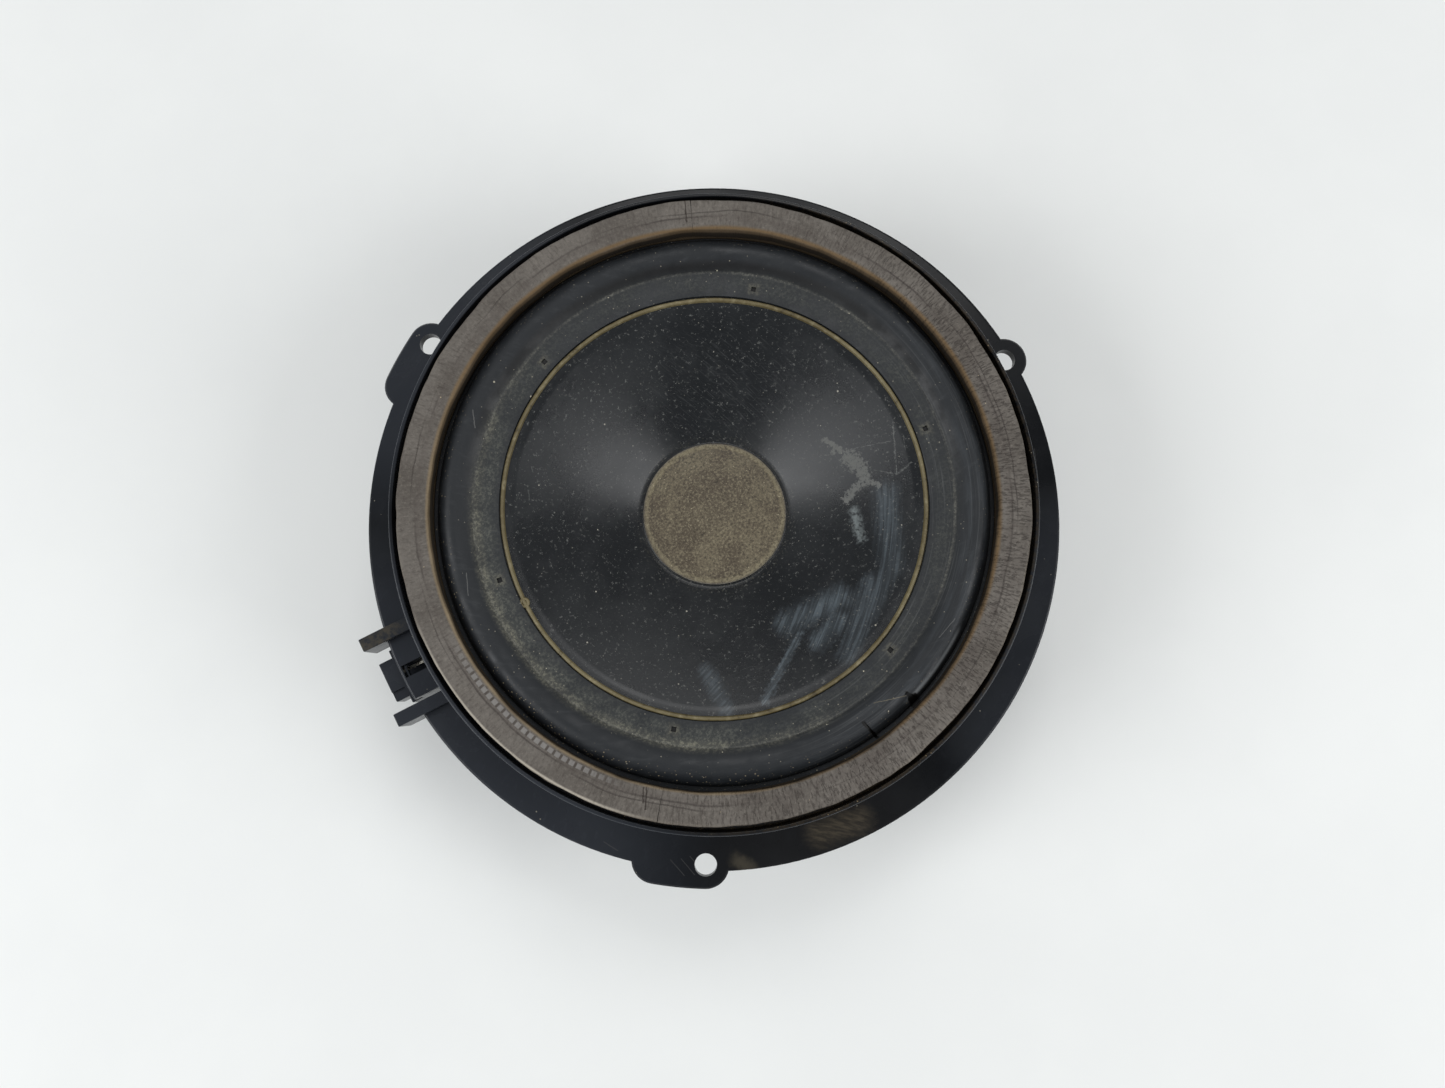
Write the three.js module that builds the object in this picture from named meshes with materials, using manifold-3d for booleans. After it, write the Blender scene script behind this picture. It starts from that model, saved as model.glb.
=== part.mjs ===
// A door woofer for a car: a moulded basket with three screw ears and a plug socket, a ferrite
// motor, and a coil, cone and dust cap that slide along the axis on a spider and a rolled surround.
// Units are millimetres. +Z is the front. The origin is the middle of the yoke's rear face.
import * as THREE from 'three';
import { mergeVertices } from 'three/addons/utils/BufferGeometryUtils.js';
import Module from 'manifold-3d';

// ---- Driving dimensions: motor, from the rear face upwards
const YOKE_RADIUS = 38;
const YOKE_THICK = 5;
const MAGNET_RADIUS = 40;
const MAGNET_HOLE_RADIUS = 21;
const MAGNET_THICK = 15;
const TOP_PLATE_RADIUS = 37.5;
const TOP_PLATE_THICK = 5;
const EDGE_CHAMFER = 1;

// ---- Driving dimensions: voice coil
const POLE_RADIUS = 12.2;
const COIL_AIR_GAP = 0.35;
const FORMER_THICK = 0.35;
const FORMER_OVERHANG = 1;
const WINDING_THICK = 0.55;
const WINDING_LENGTH = 12;
const WINDING_BOND = 0.15;

// ---- Driving dimensions: diaphragm, from the middle outwards
const DUST_CAP_RADIUS = 17.9;
const DUST_CAP_RISE = 5;
const DUST_CAP_THICK = 0.6;
const DUST_CAP_BEAD = 1;
const CONE_DEPTH = 17.6;
const CONE_THICK = 0.8;
const CONE_FLARE = 0.9;
const CONE_NECK_HEIGHT = 2.4;
const EDGE_GLUE_WIDTH = 1;
const LAND_RADIUS = 50.6;
const LAND_WIDTH = 6.6;
const LAND_RISE = 2.3;
const ROLL_WIDTH = 9.7;
const ROLL_RISE = 3.6;
const SURROUND_THICK = 0.7;
const SPIDER_RADIUS = 45;
const SPIDER_THICK = 0.5;
const SPIDER_WAVE = 0.9;
const SPIDER_FLAT = 4;
const SPIDER_WAVES = 6;

// ---- Driving dimensions: gasket stack
const BOARD_THICK = 0.9;
const BOARD_OVERHANG = 0.3;
const GASKET_WIDTH = 7.4;
const GASKET_THICK = 4.9;
const GASKET_ROUNDING = 0.8;
const GASKET_GROOVE = 1.9;

// ---- Driving dimensions: basket
const WALL = 2.5;
const BASKET_DEPTH = 19.6;
const COLLAR_HEIGHT = 20;
const COLLAR_DRAFT = 1.8;
const RIM_WALL = 1;
const SEAT_DEPTH = 4.4;
const SEAT_THICK = 2;
const FLANGE_BAND = 9;
const FLANGE_THICK = 3;
const BOWL_INSET = 3.5;
const BOWL_DEPTH = 10.5;
const FLOOR_THICK = 2.5;
const FLOOR_HOLE_RADIUS = 22;
const SKIRT_LENGTH = 4.9;
const LEDGE_HEIGHT = 8.6;
const LEDGE_WIDTH = 6;
const LEDGE_DROP = 4;
const ARM_COUNT = 6;
const ARM_WIDTH = 10;
const WEB_THICK = 2.4;
const WINDOW_MARGIN = 2.2;

// ---- Driving dimensions: screw ears
const EAR_HOLE_RADIUS = 2.75;
const EAR_RADIUS = 5.8;
const EAR_INSET = 1.6;
const ROUND_EAR_INSET = 2.3;
const EAR_SPACING = 120;
const EAR_SWEEP = 8.3;

// ---- Driving dimensions: plug socket
const SOCKET_ANGLE = 178.4;
const SOCKET_HALF_WIDTH = 7.3;
const SOCKET_STEP = 1.5;
const SHROUD_HALF_WIDTH = 5.3;
const SHROUD_HEIGHT = 8;
const SHROUD_DROP = 2;
const SHROUD_REACH = 5.2;
const SHROUD_WALL = 1.3;
const KEY_NOTCH_LENGTH = 3.6;
const KEY_NOTCH_DEPTH = 1;
const BACK_WALL = 3.5;
const LATCH_LENGTH = 6;
const LATCH_WIDTH = 3.2;
const LATCH_EDGE = 0.9;
const RAIL_THICK = 3.4;
const RAIL_GROOVE = 1.3;
const RAIL_REACH = 5.3;
const RAIL_HEIGHT = 11;
const RAIL_PROUD = 2.5;
const BLADE_WIDTH = 2.2;
const BLADE_THICK = 0.8;
const BLADE_SPACING = 4.4;
const BLADE_RECESS = 5;
const BLADE_TAIL = 9;

// ---- Driving dimensions: leads and fasteners
const LEAD_RADIUS = 0.7;
const LEAD_SIDES = 6;
const LEAD_STEPS = 28;
const LEAD_ARCH = { lean: 1.153, bend: 0.2, crest: 0.5, landing: 0.8 };
const BLOB_RADIUS = 1.5;
const GLUE_SIZE = 1.5;
const RIVET_COUNT = 3;
const RIVET_RADIUS = 2;
const RIVET_HEAD_RADIUS = 4;
const RIVET_HEAD_THICK = 1.5;
const RIVET_TOP_RADIUS = 2.8;

// ---- Clearances and fineness
const GAP = 0.3;
const BASKET_STEPS = 48;
const RING_STEPS = 36;
const COIL_STEPS = 32;
const SMALL_STEPS = 12;
const CURVE_POINTS = 5;
const ROLL_POINTS = 8;
const OVERLAP = 0.5;
const WELD = 1e-4;

// ---- Heights worked out from the stack
const magnetBottom = YOKE_THICK + GAP;
const magnetTop = magnetBottom + MAGNET_THICK;
const plateBottom = magnetTop + GAP;
const plateTop = plateBottom + TOP_PLATE_THICK;
const floorBottom = plateTop + GAP;
const floorTop = floorBottom + FLOOR_THICK;
const ledgeTop = floorTop + LEDGE_HEIGHT;
const flangeTop = floorTop + BASKET_DEPTH;
const flangeRear = flangeTop - FLANGE_THICK;
const bowlBottom = flangeRear - BOWL_DEPTH;
const collarTop = flangeTop + COLLAR_HEIGHT;
const seatTop = collarTop - SEAT_DEPTH;
const surroundBottom = seatTop + GAP;
const boardBottom = surroundBottom + SURROUND_THICK + GAP;
const gasketBottom = boardBottom + BOARD_THICK + GAP;
const gasketTop = gasketBottom + GASKET_THICK;
const landBottom = surroundBottom + LAND_RISE;
const lipTop = landBottom - GAP;
const neckTop = lipTop - CONE_DEPTH;
const spiderZ = ledgeTop + GAP + SPIDER_THICK / 2;

// ---- Radii worked out from the middle outwards
const formerInner = POLE_RADIUS + COIL_AIR_GAP;
const formerOuter = formerInner + FORMER_THICK;
const windingInner = formerOuter + WINDING_BOND;
const windingOuter = windingInner + WINDING_THICK;
const plateBore = windingOuter + COIL_AIR_GAP;
const neckRadius = formerOuter + GAP;
const edgeGlueOuter = LAND_RADIUS - GAP;
const lipRadius = edgeGlueOuter - EDGE_GLUE_WIDTH - GAP;
const rollInner = LAND_RADIUS + LAND_WIDTH;
const rollOuter = rollInner + ROLL_WIDTH;
const gasketOuter = rollOuter + GASKET_WIDTH;
const rimInner = gasketOuter + GASKET_GROOVE;
const rimRadius = rimInner + RIM_WALL;
const collarBase = rimRadius + COLLAR_DRAFT;
const flangeRadius = collarBase + FLANGE_BAND;
const bowlRadius = collarBase - BOWL_INSET;
const skirtInner = TOP_PLATE_RADIUS + GAP;
const skirtOuter = skirtInner + WALL;
const ledgeInner = SPIDER_RADIUS - SPIDER_FLAT - (LEDGE_WIDTH - SPIDER_FLAT) / 2;
const ledgeOuter = ledgeInner + LEDGE_WIDTH;
const rivetPitch = (FLOOR_HOLE_RADIUS + GAP + skirtInner) / 2;

// ---- Socket, in its own frame: u points out of the plug's mouth, v runs along the rim
const bladeZ = flangeRear - SHROUD_DROP - SHROUD_HEIGHT / 2;
const shroudFront = flangeRadius + SHROUD_REACH;
const bladeTip = shroudFront - BLADE_RECESS;
const bladeTail = bowlRadius - WALL - BLADE_TAIL;
const socketAngle = THREE.MathUtils.degToRad(SOCKET_ANGLE);

const wasm = await Module();
wasm.setup();

// ---- Solids: joining and cutting closed meshes

function toSolid(geometry) {
  const bare = geometry.clone();
  bare.deleteAttribute('normal');
  bare.deleteAttribute('uv');
  const merged = mergeVertices(bare, WELD);
  const corners = merged.index.array;
  const kept = [];
  for (let i = 0; i < corners.length; i += 3) {
    const [a, b, c] = corners.slice(i, i + 3);
    if (a !== b && b !== c && c !== a) kept.push(a, b, c);
  }
  const mesh = new wasm.Mesh({
    numProp: 3,
    vertProperties: new Float32Array(merged.attributes.position.array),
    triVerts: new Uint32Array(kept),
  });
  return new wasm.Manifold(mesh);
}

function toGeometry(solid) {
  const mesh = solid.getMesh();
  const geometry = new THREE.BufferGeometry();
  geometry.setAttribute('position', new THREE.BufferAttribute(mesh.vertProperties, 3));
  geometry.setIndex(new THREE.BufferAttribute(mesh.triVerts, 1));
  geometry.computeVertexNormals();
  return geometry;
}

function join(...geometries) {
  return geometries.map(toSolid).reduce((sum, next) => sum.add(next));
}

function cut(solid, ...geometries) {
  return geometries.map(toSolid).reduce((rest, next) => rest.subtract(next), solid);
}

// ---- Shapes: each returns a closed geometry

// A ring turned about Z. The profile lists [radius, height] anticlockwise and closes on itself,
// or starts and ends on the axis.
function turned(profile, steps) {
  const points = profile.map(([r, z]) => new THREE.Vector2(r, z));
  const onAxis = profile[0][0] === 0 && profile[profile.length - 1][0] === 0;
  if (!onAxis) points.push(points[0].clone());
  return new THREE.LatheGeometry(points, steps).rotateX(Math.PI / 2);
}

function band(inner, outer, bottom, top, steps = BASKET_STEPS) {
  return turned([[inner, bottom], [outer, bottom], [outer, top], [inner, top]], steps);
}

function block(u, v, z) {
  const box = new THREE.BoxGeometry(u[1] - u[0], v[1] - v[0], z[1] - z[0]);
  return box.translate((u[0] + u[1]) / 2, (v[0] + v[1]) / 2, (z[0] + z[1]) / 2);
}

function plate(shape, bottom, top, curveSegments = SMALL_STEPS) {
  const settings = { depth: top - bottom, bevelEnabled: false, curveSegments };
  return new THREE.ExtrudeGeometry(shape, settings).translate(0, 0, bottom);
}

function post(radius, x, y, bottom, top) {
  return band(0, radius, bottom, top, SMALL_STEPS).translate(x, y, 0);
}

function dome(radius, height, x, y, bottom) {
  const profile = [[0, bottom]];
  for (let i = 0; i <= CURVE_POINTS; i += 1) {
    const angle = (i / CURVE_POINTS) * (Math.PI / 2);
    profile.push([radius * Math.cos(angle), bottom + height * Math.sin(angle)]);
  }
  profile[profile.length - 1][0] = 0;
  return turned(profile, SMALL_STEPS).translate(x, y, 0);
}

// A web standing in the plane of the axis, given by its [radius, height] outline.
function web(outline, thick, angle) {
  const shape = new THREE.Shape(outline.map(([r, z]) => new THREE.Vector2(r, z)));
  const settings = { depth: thick, bevelEnabled: false };
  const geometry = new THREE.ExtrudeGeometry(shape, settings);
  return geometry.rotateX(Math.PI / 2).translate(0, thick / 2, 0).rotateZ(angle);
}

// A slot with round ends that bends about the axis, or a circle where the sweep is nothing.
function bentSlot(pitch, radius, from, to) {
  const shape = new THREE.Shape();
  const end = (angle) => [pitch * Math.cos(angle), pitch * Math.sin(angle)];
  shape.absarc(0, 0, pitch + radius, from, to, false);
  shape.absarc(...end(to), radius, to, to + Math.PI, false);
  if (to > from) shape.absarc(0, 0, pitch - radius, to, from, true);
  shape.absarc(...end(from), radius, from + Math.PI, from + 2 * Math.PI, false);
  return shape;
}

// The stretch between two arms with parallel sides, from one radius to another.
function windowShape(inner, outer, middle) {
  const half = Math.PI / ARM_COUNT;
  const side = (radius) => half - Math.asin(ARM_WIDTH / 2 / radius);
  const shape = new THREE.Shape();
  shape.absarc(0, 0, outer, middle - side(outer), middle + side(outer), false);
  shape.absarc(0, 0, inner, middle + side(inner), middle - side(inner), true);
  return shape;
}

function around(count, first = 0) {
  return Array.from({ length: count }, (_, i) => first + (i * 2 * Math.PI) / count);
}

// ---- Materials

function material(color, roughness, metalness = 0) {
  return () => new THREE.MeshStandardMaterial({ color, roughness, metalness });
}

const basketPlastic = material(0x1d2024, 0.42);
const gasketFoam = material(0x6e655e, 0.95);
const board = material(0x8a7048, 0.9);
const surroundRubber = material(0x222527, 0.7);
const conePolymer = material(0x1a1d21, 0.4);
const capFabric = material(0x6f6650, 0.95);
const glue = material(0x80683c, 0.5);
const blackGlue = material(0x15130f, 0.35);
const formerPaper = material(0x9a7b4c, 0.7);
const copper = material(0xb06a3a, 0.4, 1);
const spiderCloth = material(0xb08c4e, 0.95);
const zincSteel = material(0xa8a9a6, 0.4, 1);
const ferrite = material(0x2b2b2d, 0.75);
const tinned = material(0xc8c4b8, 0.3, 1);
const tinselBraid = material(0xa56f45, 0.6, 1);

const model = new THREE.Group();

function addNode(name, geometry, makeMaterial) {
  const mesh = new THREE.Mesh(geometry, makeMaterial());
  mesh.name = name;
  model.add(mesh);
}

function addSocketNode(name, geometry, makeMaterial) {
  addNode(name, geometry.rotateZ(socketAngle), makeMaterial);
}

// ---- Basket

function basketShell() {
  const floorEdge = skirtOuter - WALL;
  const innerFloor = ledgeTop - LEDGE_DROP - WALL / 2;
  const skirt = band(skirtInner, skirtOuter, plateTop - SKIRT_LENGTH, floorTop);
  const floor = band(FLOOR_HOLE_RADIUS, skirtOuter, floorBottom, floorTop);
  const riser = band(floorEdge, skirtOuter, floorBottom, innerFloor + WALL);
  const ledge = band(ledgeInner, ledgeOuter, innerFloor, ledgeTop);
  const bowlFloor = turned([
    [Math.min(floorEdge, ledgeInner), innerFloor],
    [bowlRadius, bowlBottom],
    [bowlRadius, bowlBottom + WALL],
    [Math.min(floorEdge, ledgeInner), innerFloor + WALL],
  ], BASKET_STEPS);
  const bowlWall = band(bowlRadius - WALL, bowlRadius, bowlBottom, flangeTop);
  const flange = band(bowlRadius - WALL, flangeRadius, flangeRear, flangeTop);
  const collar = turned([
    [collarBase - WALL, flangeRear + OVERLAP],
    [collarBase, flangeRear + OVERLAP],
    [collarBase, flangeTop],
    [rimRadius, collarTop],
    [rimInner, collarTop],
    [rimInner, seatTop],
    [rimInner - WALL + RIM_WALL, seatTop - SEAT_THICK],
  ], BASKET_STEPS);
  const seat = turned([
    [rollOuter - GAP, seatTop - SEAT_THICK],
    [rimInner + OVERLAP, seatTop - SEAT_THICK],
    [rimInner + OVERLAP, seatTop],
    [rollOuter - GAP, seatTop],
  ], BASKET_STEPS);
  return join(skirt, floor, riser, ledge, bowlFloor, bowlWall, flange, collar, seat);
}

function webs() {
  const innerFloor = ledgeTop - LEDGE_DROP;
  const outline = [
    [skirtOuter - OVERLAP, floorBottom],
    [bowlRadius - OVERLAP, bowlBottom + OVERLAP],
    [bowlRadius - OVERLAP, bowlBottom + WALL / 2],
    [skirtOuter - OVERLAP, innerFloor],
  ];
  return around(ARM_COUNT).map((angle) => web(outline, WEB_THICK, angle));
}

function windows() {
  const inner = Math.max(ledgeOuter, skirtOuter) + WINDOW_MARGIN;
  const outer = bowlRadius - WALL - WINDOW_MARGIN;
  const below = floorBottom - WALL;
  return around(ARM_COUNT, Math.PI / ARM_COUNT).map((angle) => {
    return plate(windowShape(inner, outer, angle), below, flangeRear, CURVE_POINTS);
  });
}

const lobedPitch = flangeRadius - EAR_INSET;
const roundPitch = flangeRadius - ROUND_EAR_INSET;
const earAngle = THREE.MathUtils.degToRad(EAR_SPACING);
const earSweep = THREE.MathUtils.degToRad(EAR_SWEEP);
const earSpots = [
  { pitch: roundPitch, hole: 0, from: 0, to: 0 },
  { pitch: lobedPitch, hole: earAngle, from: earAngle, to: earAngle + earSweep },
  { pitch: lobedPitch, hole: -earAngle, from: -earAngle - earSweep, to: -earAngle },
];

function ears() {
  return earSpots.map(({ pitch, from, to }) => {
    return plate(bentSlot(pitch, EAR_RADIUS, from, to), flangeRear, flangeTop);
  });
}

function earHoles() {
  return earSpots.map(({ pitch, hole }) => {
    const spot = [pitch * Math.cos(hole), pitch * Math.sin(hole)];
    return post(EAR_HOLE_RADIUS, ...spot, flangeRear - OVERLAP, flangeTop + OVERLAP);
  });
}

const rivetSpots = around(RIVET_COUNT, Math.PI / RIVET_COUNT).map((angle) => {
  return [rivetPitch * Math.cos(angle), rivetPitch * Math.sin(angle)];
});

function rivetHoles(bottom, top) {
  return rivetSpots.map(([x, y]) => post(RIVET_RADIUS + GAP, x, y, bottom, top));
}

// ---- Socket pieces of the basket, along +X until they are turned to their place

const grooveOuter = SOCKET_HALF_WIDTH + RAIL_GROOVE;
const railOuter = grooveOuter + RAIL_THICK;
const shroudTop = bladeZ + SHROUD_HEIGHT / 2;
const shroudBottom = bladeZ - SHROUD_HEIGHT / 2;
const cavityHalf = SHROUD_HALF_WIDTH - SHROUD_WALL;
const cavityBack = bowlRadius + BACK_WALL;

function socketBody() {
  const root = bowlRadius - OVERLAP;
  const railTop = flangeTop + RAIL_PROUD;
  const railZ = [railTop - RAIL_HEIGHT, railTop];
  const railU = [collarBase - OVERLAP, flangeRadius + RAIL_REACH];
  const bodyU = [root, flangeRadius + SOCKET_STEP];
  const halfBody = [-SOCKET_HALF_WIDTH, SOCKET_HALF_WIDTH];
  const pieces = [
    block(bodyU, halfBody, [shroudBottom, shroudTop]),
    block([root, flangeRadius - SOCKET_STEP], halfBody, [shroudTop - OVERLAP, flangeRear + OVERLAP]),
    block([root, shroudFront], [-SHROUD_HALF_WIDTH, SHROUD_HALF_WIDTH], [shroudBottom, shroudTop]),
    block(railU, [grooveOuter, railOuter], railZ),
    block(railU, [-railOuter, -grooveOuter], railZ),
  ];
  return pieces.map((piece) => piece.rotateZ(socketAngle));
}

function socketCuts() {
  const roofEdge = flangeRadius - LATCH_EDGE;
  const beyond = shroudFront + OVERLAP;
  const through = [flangeRear - OVERLAP, flangeTop + OVERLAP];
  const slotZ = [bladeZ - BLADE_THICK / 2 - GAP, bladeZ + BLADE_THICK / 2 + GAP];
  const slotU = [bowlRadius - WALL - OVERLAP, cavityBack + OVERLAP];
  const notchV = [cavityHalf - SHROUD_WALL, SHROUD_HALF_WIDTH + OVERLAP];
  const notchZ = [shroudTop - KEY_NOTCH_DEPTH, shroudTop + OVERLAP];
  const cavityZ = [shroudBottom + SHROUD_WALL, shroudTop - SHROUD_WALL];
  const latchDepth = [cavityZ[1] - OVERLAP, flangeTop + OVERLAP];
  const pieces = [
    block([cavityBack, beyond], [-cavityHalf, cavityHalf], cavityZ),
    block([roofEdge - LATCH_LENGTH, roofEdge], [-LATCH_WIDTH / 2, LATCH_WIDTH / 2], latchDepth),
    block([collarBase + OVERLAP, beyond], [SOCKET_HALF_WIDTH, grooveOuter], through),
    block([shroudFront - KEY_NOTCH_LENGTH, beyond], notchV, notchZ),
  ];
  for (const side of [-1, 1]) {
    const middle = (side * BLADE_SPACING) / 2;
    const halfSlot = BLADE_WIDTH / 2 + GAP;
    pieces.push(block(slotU, [middle - halfSlot, middle + halfSlot], slotZ));
  }
  return pieces.map((piece) => piece.rotateZ(socketAngle));
}

function basket() {
  const raised = [...webs(), ...ears(), ...socketBody()].map(toSolid);
  const whole = raised.reduce((sum, next) => sum.add(next), basketShell());
  const holes = [...earHoles(), ...rivetHoles(floorBottom - OVERLAP, floorTop + OVERLAP)];
  return toGeometry(cut(whole, ...windows(), ...holes, ...socketCuts()));
}

addNode('basket', basket(), basketPlastic);

// ---- Motor

function yoke() {
  const c = EDGE_CHAMFER;
  return turned([
    [0, 0],
    [YOKE_RADIUS - c, 0],
    [YOKE_RADIUS, c],
    [YOKE_RADIUS, YOKE_THICK],
    [POLE_RADIUS, YOKE_THICK],
    [POLE_RADIUS, plateTop - c],
    [POLE_RADIUS - c, plateTop],
    [0, plateTop],
  ], RING_STEPS);
}

function magnet() {
  const c = EDGE_CHAMFER;
  return turned([
    [MAGNET_HOLE_RADIUS, magnetBottom],
    [MAGNET_RADIUS - c, magnetBottom],
    [MAGNET_RADIUS, magnetBottom + c],
    [MAGNET_RADIUS, magnetTop - c],
    [MAGNET_RADIUS - c, magnetTop],
    [MAGNET_HOLE_RADIUS, magnetTop],
  ], RING_STEPS);
}

function topPlate() {
  const disc = join(band(plateBore, TOP_PLATE_RADIUS, plateBottom, plateTop, RING_STEPS));
  return toGeometry(cut(disc, ...rivetHoles(plateBottom - OVERLAP, plateTop + OVERLAP)));
}

function rivet([x, y]) {
  const head = floorTop + GAP;
  return turned([
    [0, plateBottom + GAP],
    [RIVET_RADIUS, plateBottom + GAP],
    [RIVET_RADIUS, head],
    [RIVET_HEAD_RADIUS, head],
    [RIVET_TOP_RADIUS, head + RIVET_HEAD_THICK],
    [0, head + RIVET_HEAD_THICK],
  ], SMALL_STEPS).translate(x, y, 0);
}

addNode('yoke', yoke(), zincSteel);
addNode('magnet', magnet(), ferrite);
addNode('top_plate', topPlate(), zincSteel);
rivetSpots.forEach((spot, i) => addNode(`motor_rivet_${i + 1}`, rivet(spot), zincSteel));

// ---- Voice coil

const windingMiddle = (plateBottom + plateTop) / 2;
const windingBottom = windingMiddle - WINDING_LENGTH / 2;
const windingTop = windingMiddle + WINDING_LENGTH / 2;
const formerTop = neckTop + FORMER_OVERHANG;

addNode(
  'voice_coil_former',
  band(formerInner, formerOuter, windingBottom - FORMER_OVERHANG, formerTop, COIL_STEPS),
  formerPaper,
);
addNode(
  'voice_coil_winding',
  band(windingInner, windingOuter, windingBottom, windingTop, COIL_STEPS),
  copper,
);

// ---- Diaphragm

function coneZ(radius) {
  const t = (radius - neckRadius) / (lipRadius - neckRadius);
  return neckTop + CONE_DEPTH * Math.pow(Math.max(t, 0), CONE_FLARE);
}

function cone() {
  const start = neckRadius + CONE_THICK;
  const upper = [];
  for (let i = 0; i <= CURVE_POINTS; i += 1) {
    const radius = start + ((lipRadius - start) * i) / CURVE_POINTS;
    upper.push([radius, coneZ(radius)]);
  }
  const lower = upper.map(([r, z]) => [r, z - CONE_THICK]);
  const neck = [[neckRadius, neckTop], [neckRadius, neckTop - CONE_NECK_HEIGHT]];
  const foot = [start, neckTop - CONE_NECK_HEIGHT];
  const lipEdge = rollInner - GAP;
  const lip = [[lipEdge, lipTop - CONE_THICK], [lipEdge, lipTop]];
  return turned([foot, ...lower, ...lip, ...upper.reverse(), ...neck], RING_STEPS);
}

function dustCap() {
  const rim = coneZ(DUST_CAP_RADIUS) + GAP;
  const arc = (radius, height, bottom) => {
    const points = [];
    for (let i = 0; i <= CURVE_POINTS; i += 1) {
      const r = (radius * (CURVE_POINTS - i)) / CURVE_POINTS;
      points.push([r, bottom + height * (1 - (r / radius) ** 2)]);
    }
    return points;
  };
  const outside = arc(DUST_CAP_RADIUS, DUST_CAP_RISE, rim + DUST_CAP_THICK);
  const inside = arc(DUST_CAP_RADIUS - DUST_CAP_THICK, DUST_CAP_RISE, rim);
  inside.reverse();
  return turned([...inside, ...outside], RING_STEPS);
}

function capBead() {
  const inner = DUST_CAP_RADIUS + GAP;
  const outer = inner + DUST_CAP_BEAD;
  return turned([
    [inner, coneZ(inner) + GAP],
    [outer, coneZ(outer) + GAP],
    [inner, coneZ(inner) + GAP + DUST_CAP_BEAD],
  ], RING_STEPS);
}

function edgeGlue() {
  const inner = edgeGlueOuter - EDGE_GLUE_WIDTH;
  return band(inner, edgeGlueOuter, lipTop + GAP, landBottom + SURROUND_THICK + GAP, RING_STEPS);
}

// A fillet of glue against the former: wide at one end and thin at the other.
function formerGlue(wideZ, thinZ) {
  const foot = [neckRadius + GLUE_SIZE, wideZ];
  const rise = [neckRadius, thinZ];
  const corner = [neckRadius, wideZ];
  return turned(thinZ > wideZ ? [corner, foot, rise] : [rise, foot, corner], COIL_STEPS);
}

function surround() {
  const rollEdge = rollOuter - BOARD_OVERHANG - GAP;
  const rollSpan = rollEdge - rollInner;
  const crown = (r) => {
    const t = (rollEdge - r) / rollSpan;
    return surroundBottom + LAND_RISE * t + ROLL_RISE * Math.sin(Math.PI * t);
  };
  const lower = [];
  for (let i = 0; i <= ROLL_POINTS; i += 1) {
    const r = rollInner + (rollSpan * i) / ROLL_POINTS;
    lower.push([r, crown(r)]);
  }
  const flangeEdge = rimInner - 2 * GAP;
  const under = [[LAND_RADIUS, landBottom], ...lower, [flangeEdge, surroundBottom]];
  const over = under.map(([r, z]) => [r, z + SURROUND_THICK]).reverse();
  return turned([...under, ...over], RING_STEPS);
}

function spider() {
  const inner = neckRadius;
  const waveEnd = SPIDER_RADIUS - SPIDER_FLAT;
  const waveStart = inner + SPIDER_FLAT / 2;
  const under = [[inner, spiderZ - SPIDER_THICK / 2]];
  for (let i = 0; i <= SPIDER_WAVES; i += 1) {
    const r = waveStart + ((waveEnd - waveStart) * i) / SPIDER_WAVES;
    const wave = i === 0 || i === SPIDER_WAVES ? 0 : SPIDER_WAVE * (i % 2 ? 1 : -1);
    under.push([r, spiderZ + wave - SPIDER_THICK / 2]);
  }
  under.push([SPIDER_RADIUS, spiderZ - SPIDER_THICK / 2]);
  const over = under.map(([r, z]) => [r, z + SPIDER_THICK]).reverse();
  return turned([...under, ...over], COIL_STEPS);
}

const spiderGlueZ = spiderZ + SPIDER_THICK / 2 + GAP;
const neckGlueZ = neckTop - CONE_NECK_HEIGHT - GAP;

addNode('spider', spider(), spiderCloth);
addNode('spider_glue', formerGlue(spiderGlueZ, spiderGlueZ + GLUE_SIZE), blackGlue);
addNode('neck_glue', formerGlue(neckGlueZ, neckGlueZ - GLUE_SIZE), blackGlue);
addNode('cone', cone(), conePolymer);
addNode('dust_cap', dustCap(), capFabric);
addNode('dust_cap_bead', capBead(), blackGlue);
addNode('cone_edge_glue', edgeGlue(), glue);
addNode('surround', surround(), surroundRubber);

// ---- Gasket stack on the seat

function gasket() {
  const c = GASKET_ROUNDING;
  return turned([
    [rollOuter, gasketBottom],
    [gasketOuter, gasketBottom],
    [gasketOuter, gasketTop - c],
    [gasketOuter - c, gasketTop],
    [rollOuter + c, gasketTop],
    [rollOuter, gasketTop - c],
  ], RING_STEPS);
}

addNode(
  'gasket_board_ring',
  band(rollOuter - BOARD_OVERHANG, gasketOuter, boardBottom, boardBottom + BOARD_THICK, RING_STEPS),
  board,
);
addNode('foam_gasket', gasket(), gasketFoam);

// ---- Terminals and tinsel leads, one of each on either side of the socket's middle

const solderU = bladeTail + BLOB_RADIUS;
const solderBottom = bladeZ + BLADE_THICK / 2 + GAP;
const leadJointZ = (spiderGlueZ + GLUE_SIZE + neckGlueZ - GLUE_SIZE) / 2;
const leadJointU = neckRadius + BLOB_RADIUS;

function leadPath(v) {
  const startZ = solderBottom + BLOB_RADIUS + GAP;
  const endU = leadJointU + BLOB_RADIUS + GAP;
  const archZ = (neckTop + startZ) / 2;
  const liftZ = (startZ + archZ) / 2;
  const span = solderU - endU;
  return new THREE.CatmullRomCurve3([
    new THREE.Vector3(solderU, v, startZ),
    new THREE.Vector3(solderU - LEAD_ARCH.lean * (liftZ - startZ), v, liftZ),
    new THREE.Vector3(solderU - LEAD_ARCH.bend * span, v, archZ),
    new THREE.Vector3(solderU - LEAD_ARCH.crest * span, v, archZ),
    new THREE.Vector3(solderU - LEAD_ARCH.landing * span, v, leadJointZ),
    new THREE.Vector3(endU, v, leadJointZ),
  ], false, 'centripetal');
}

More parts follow.
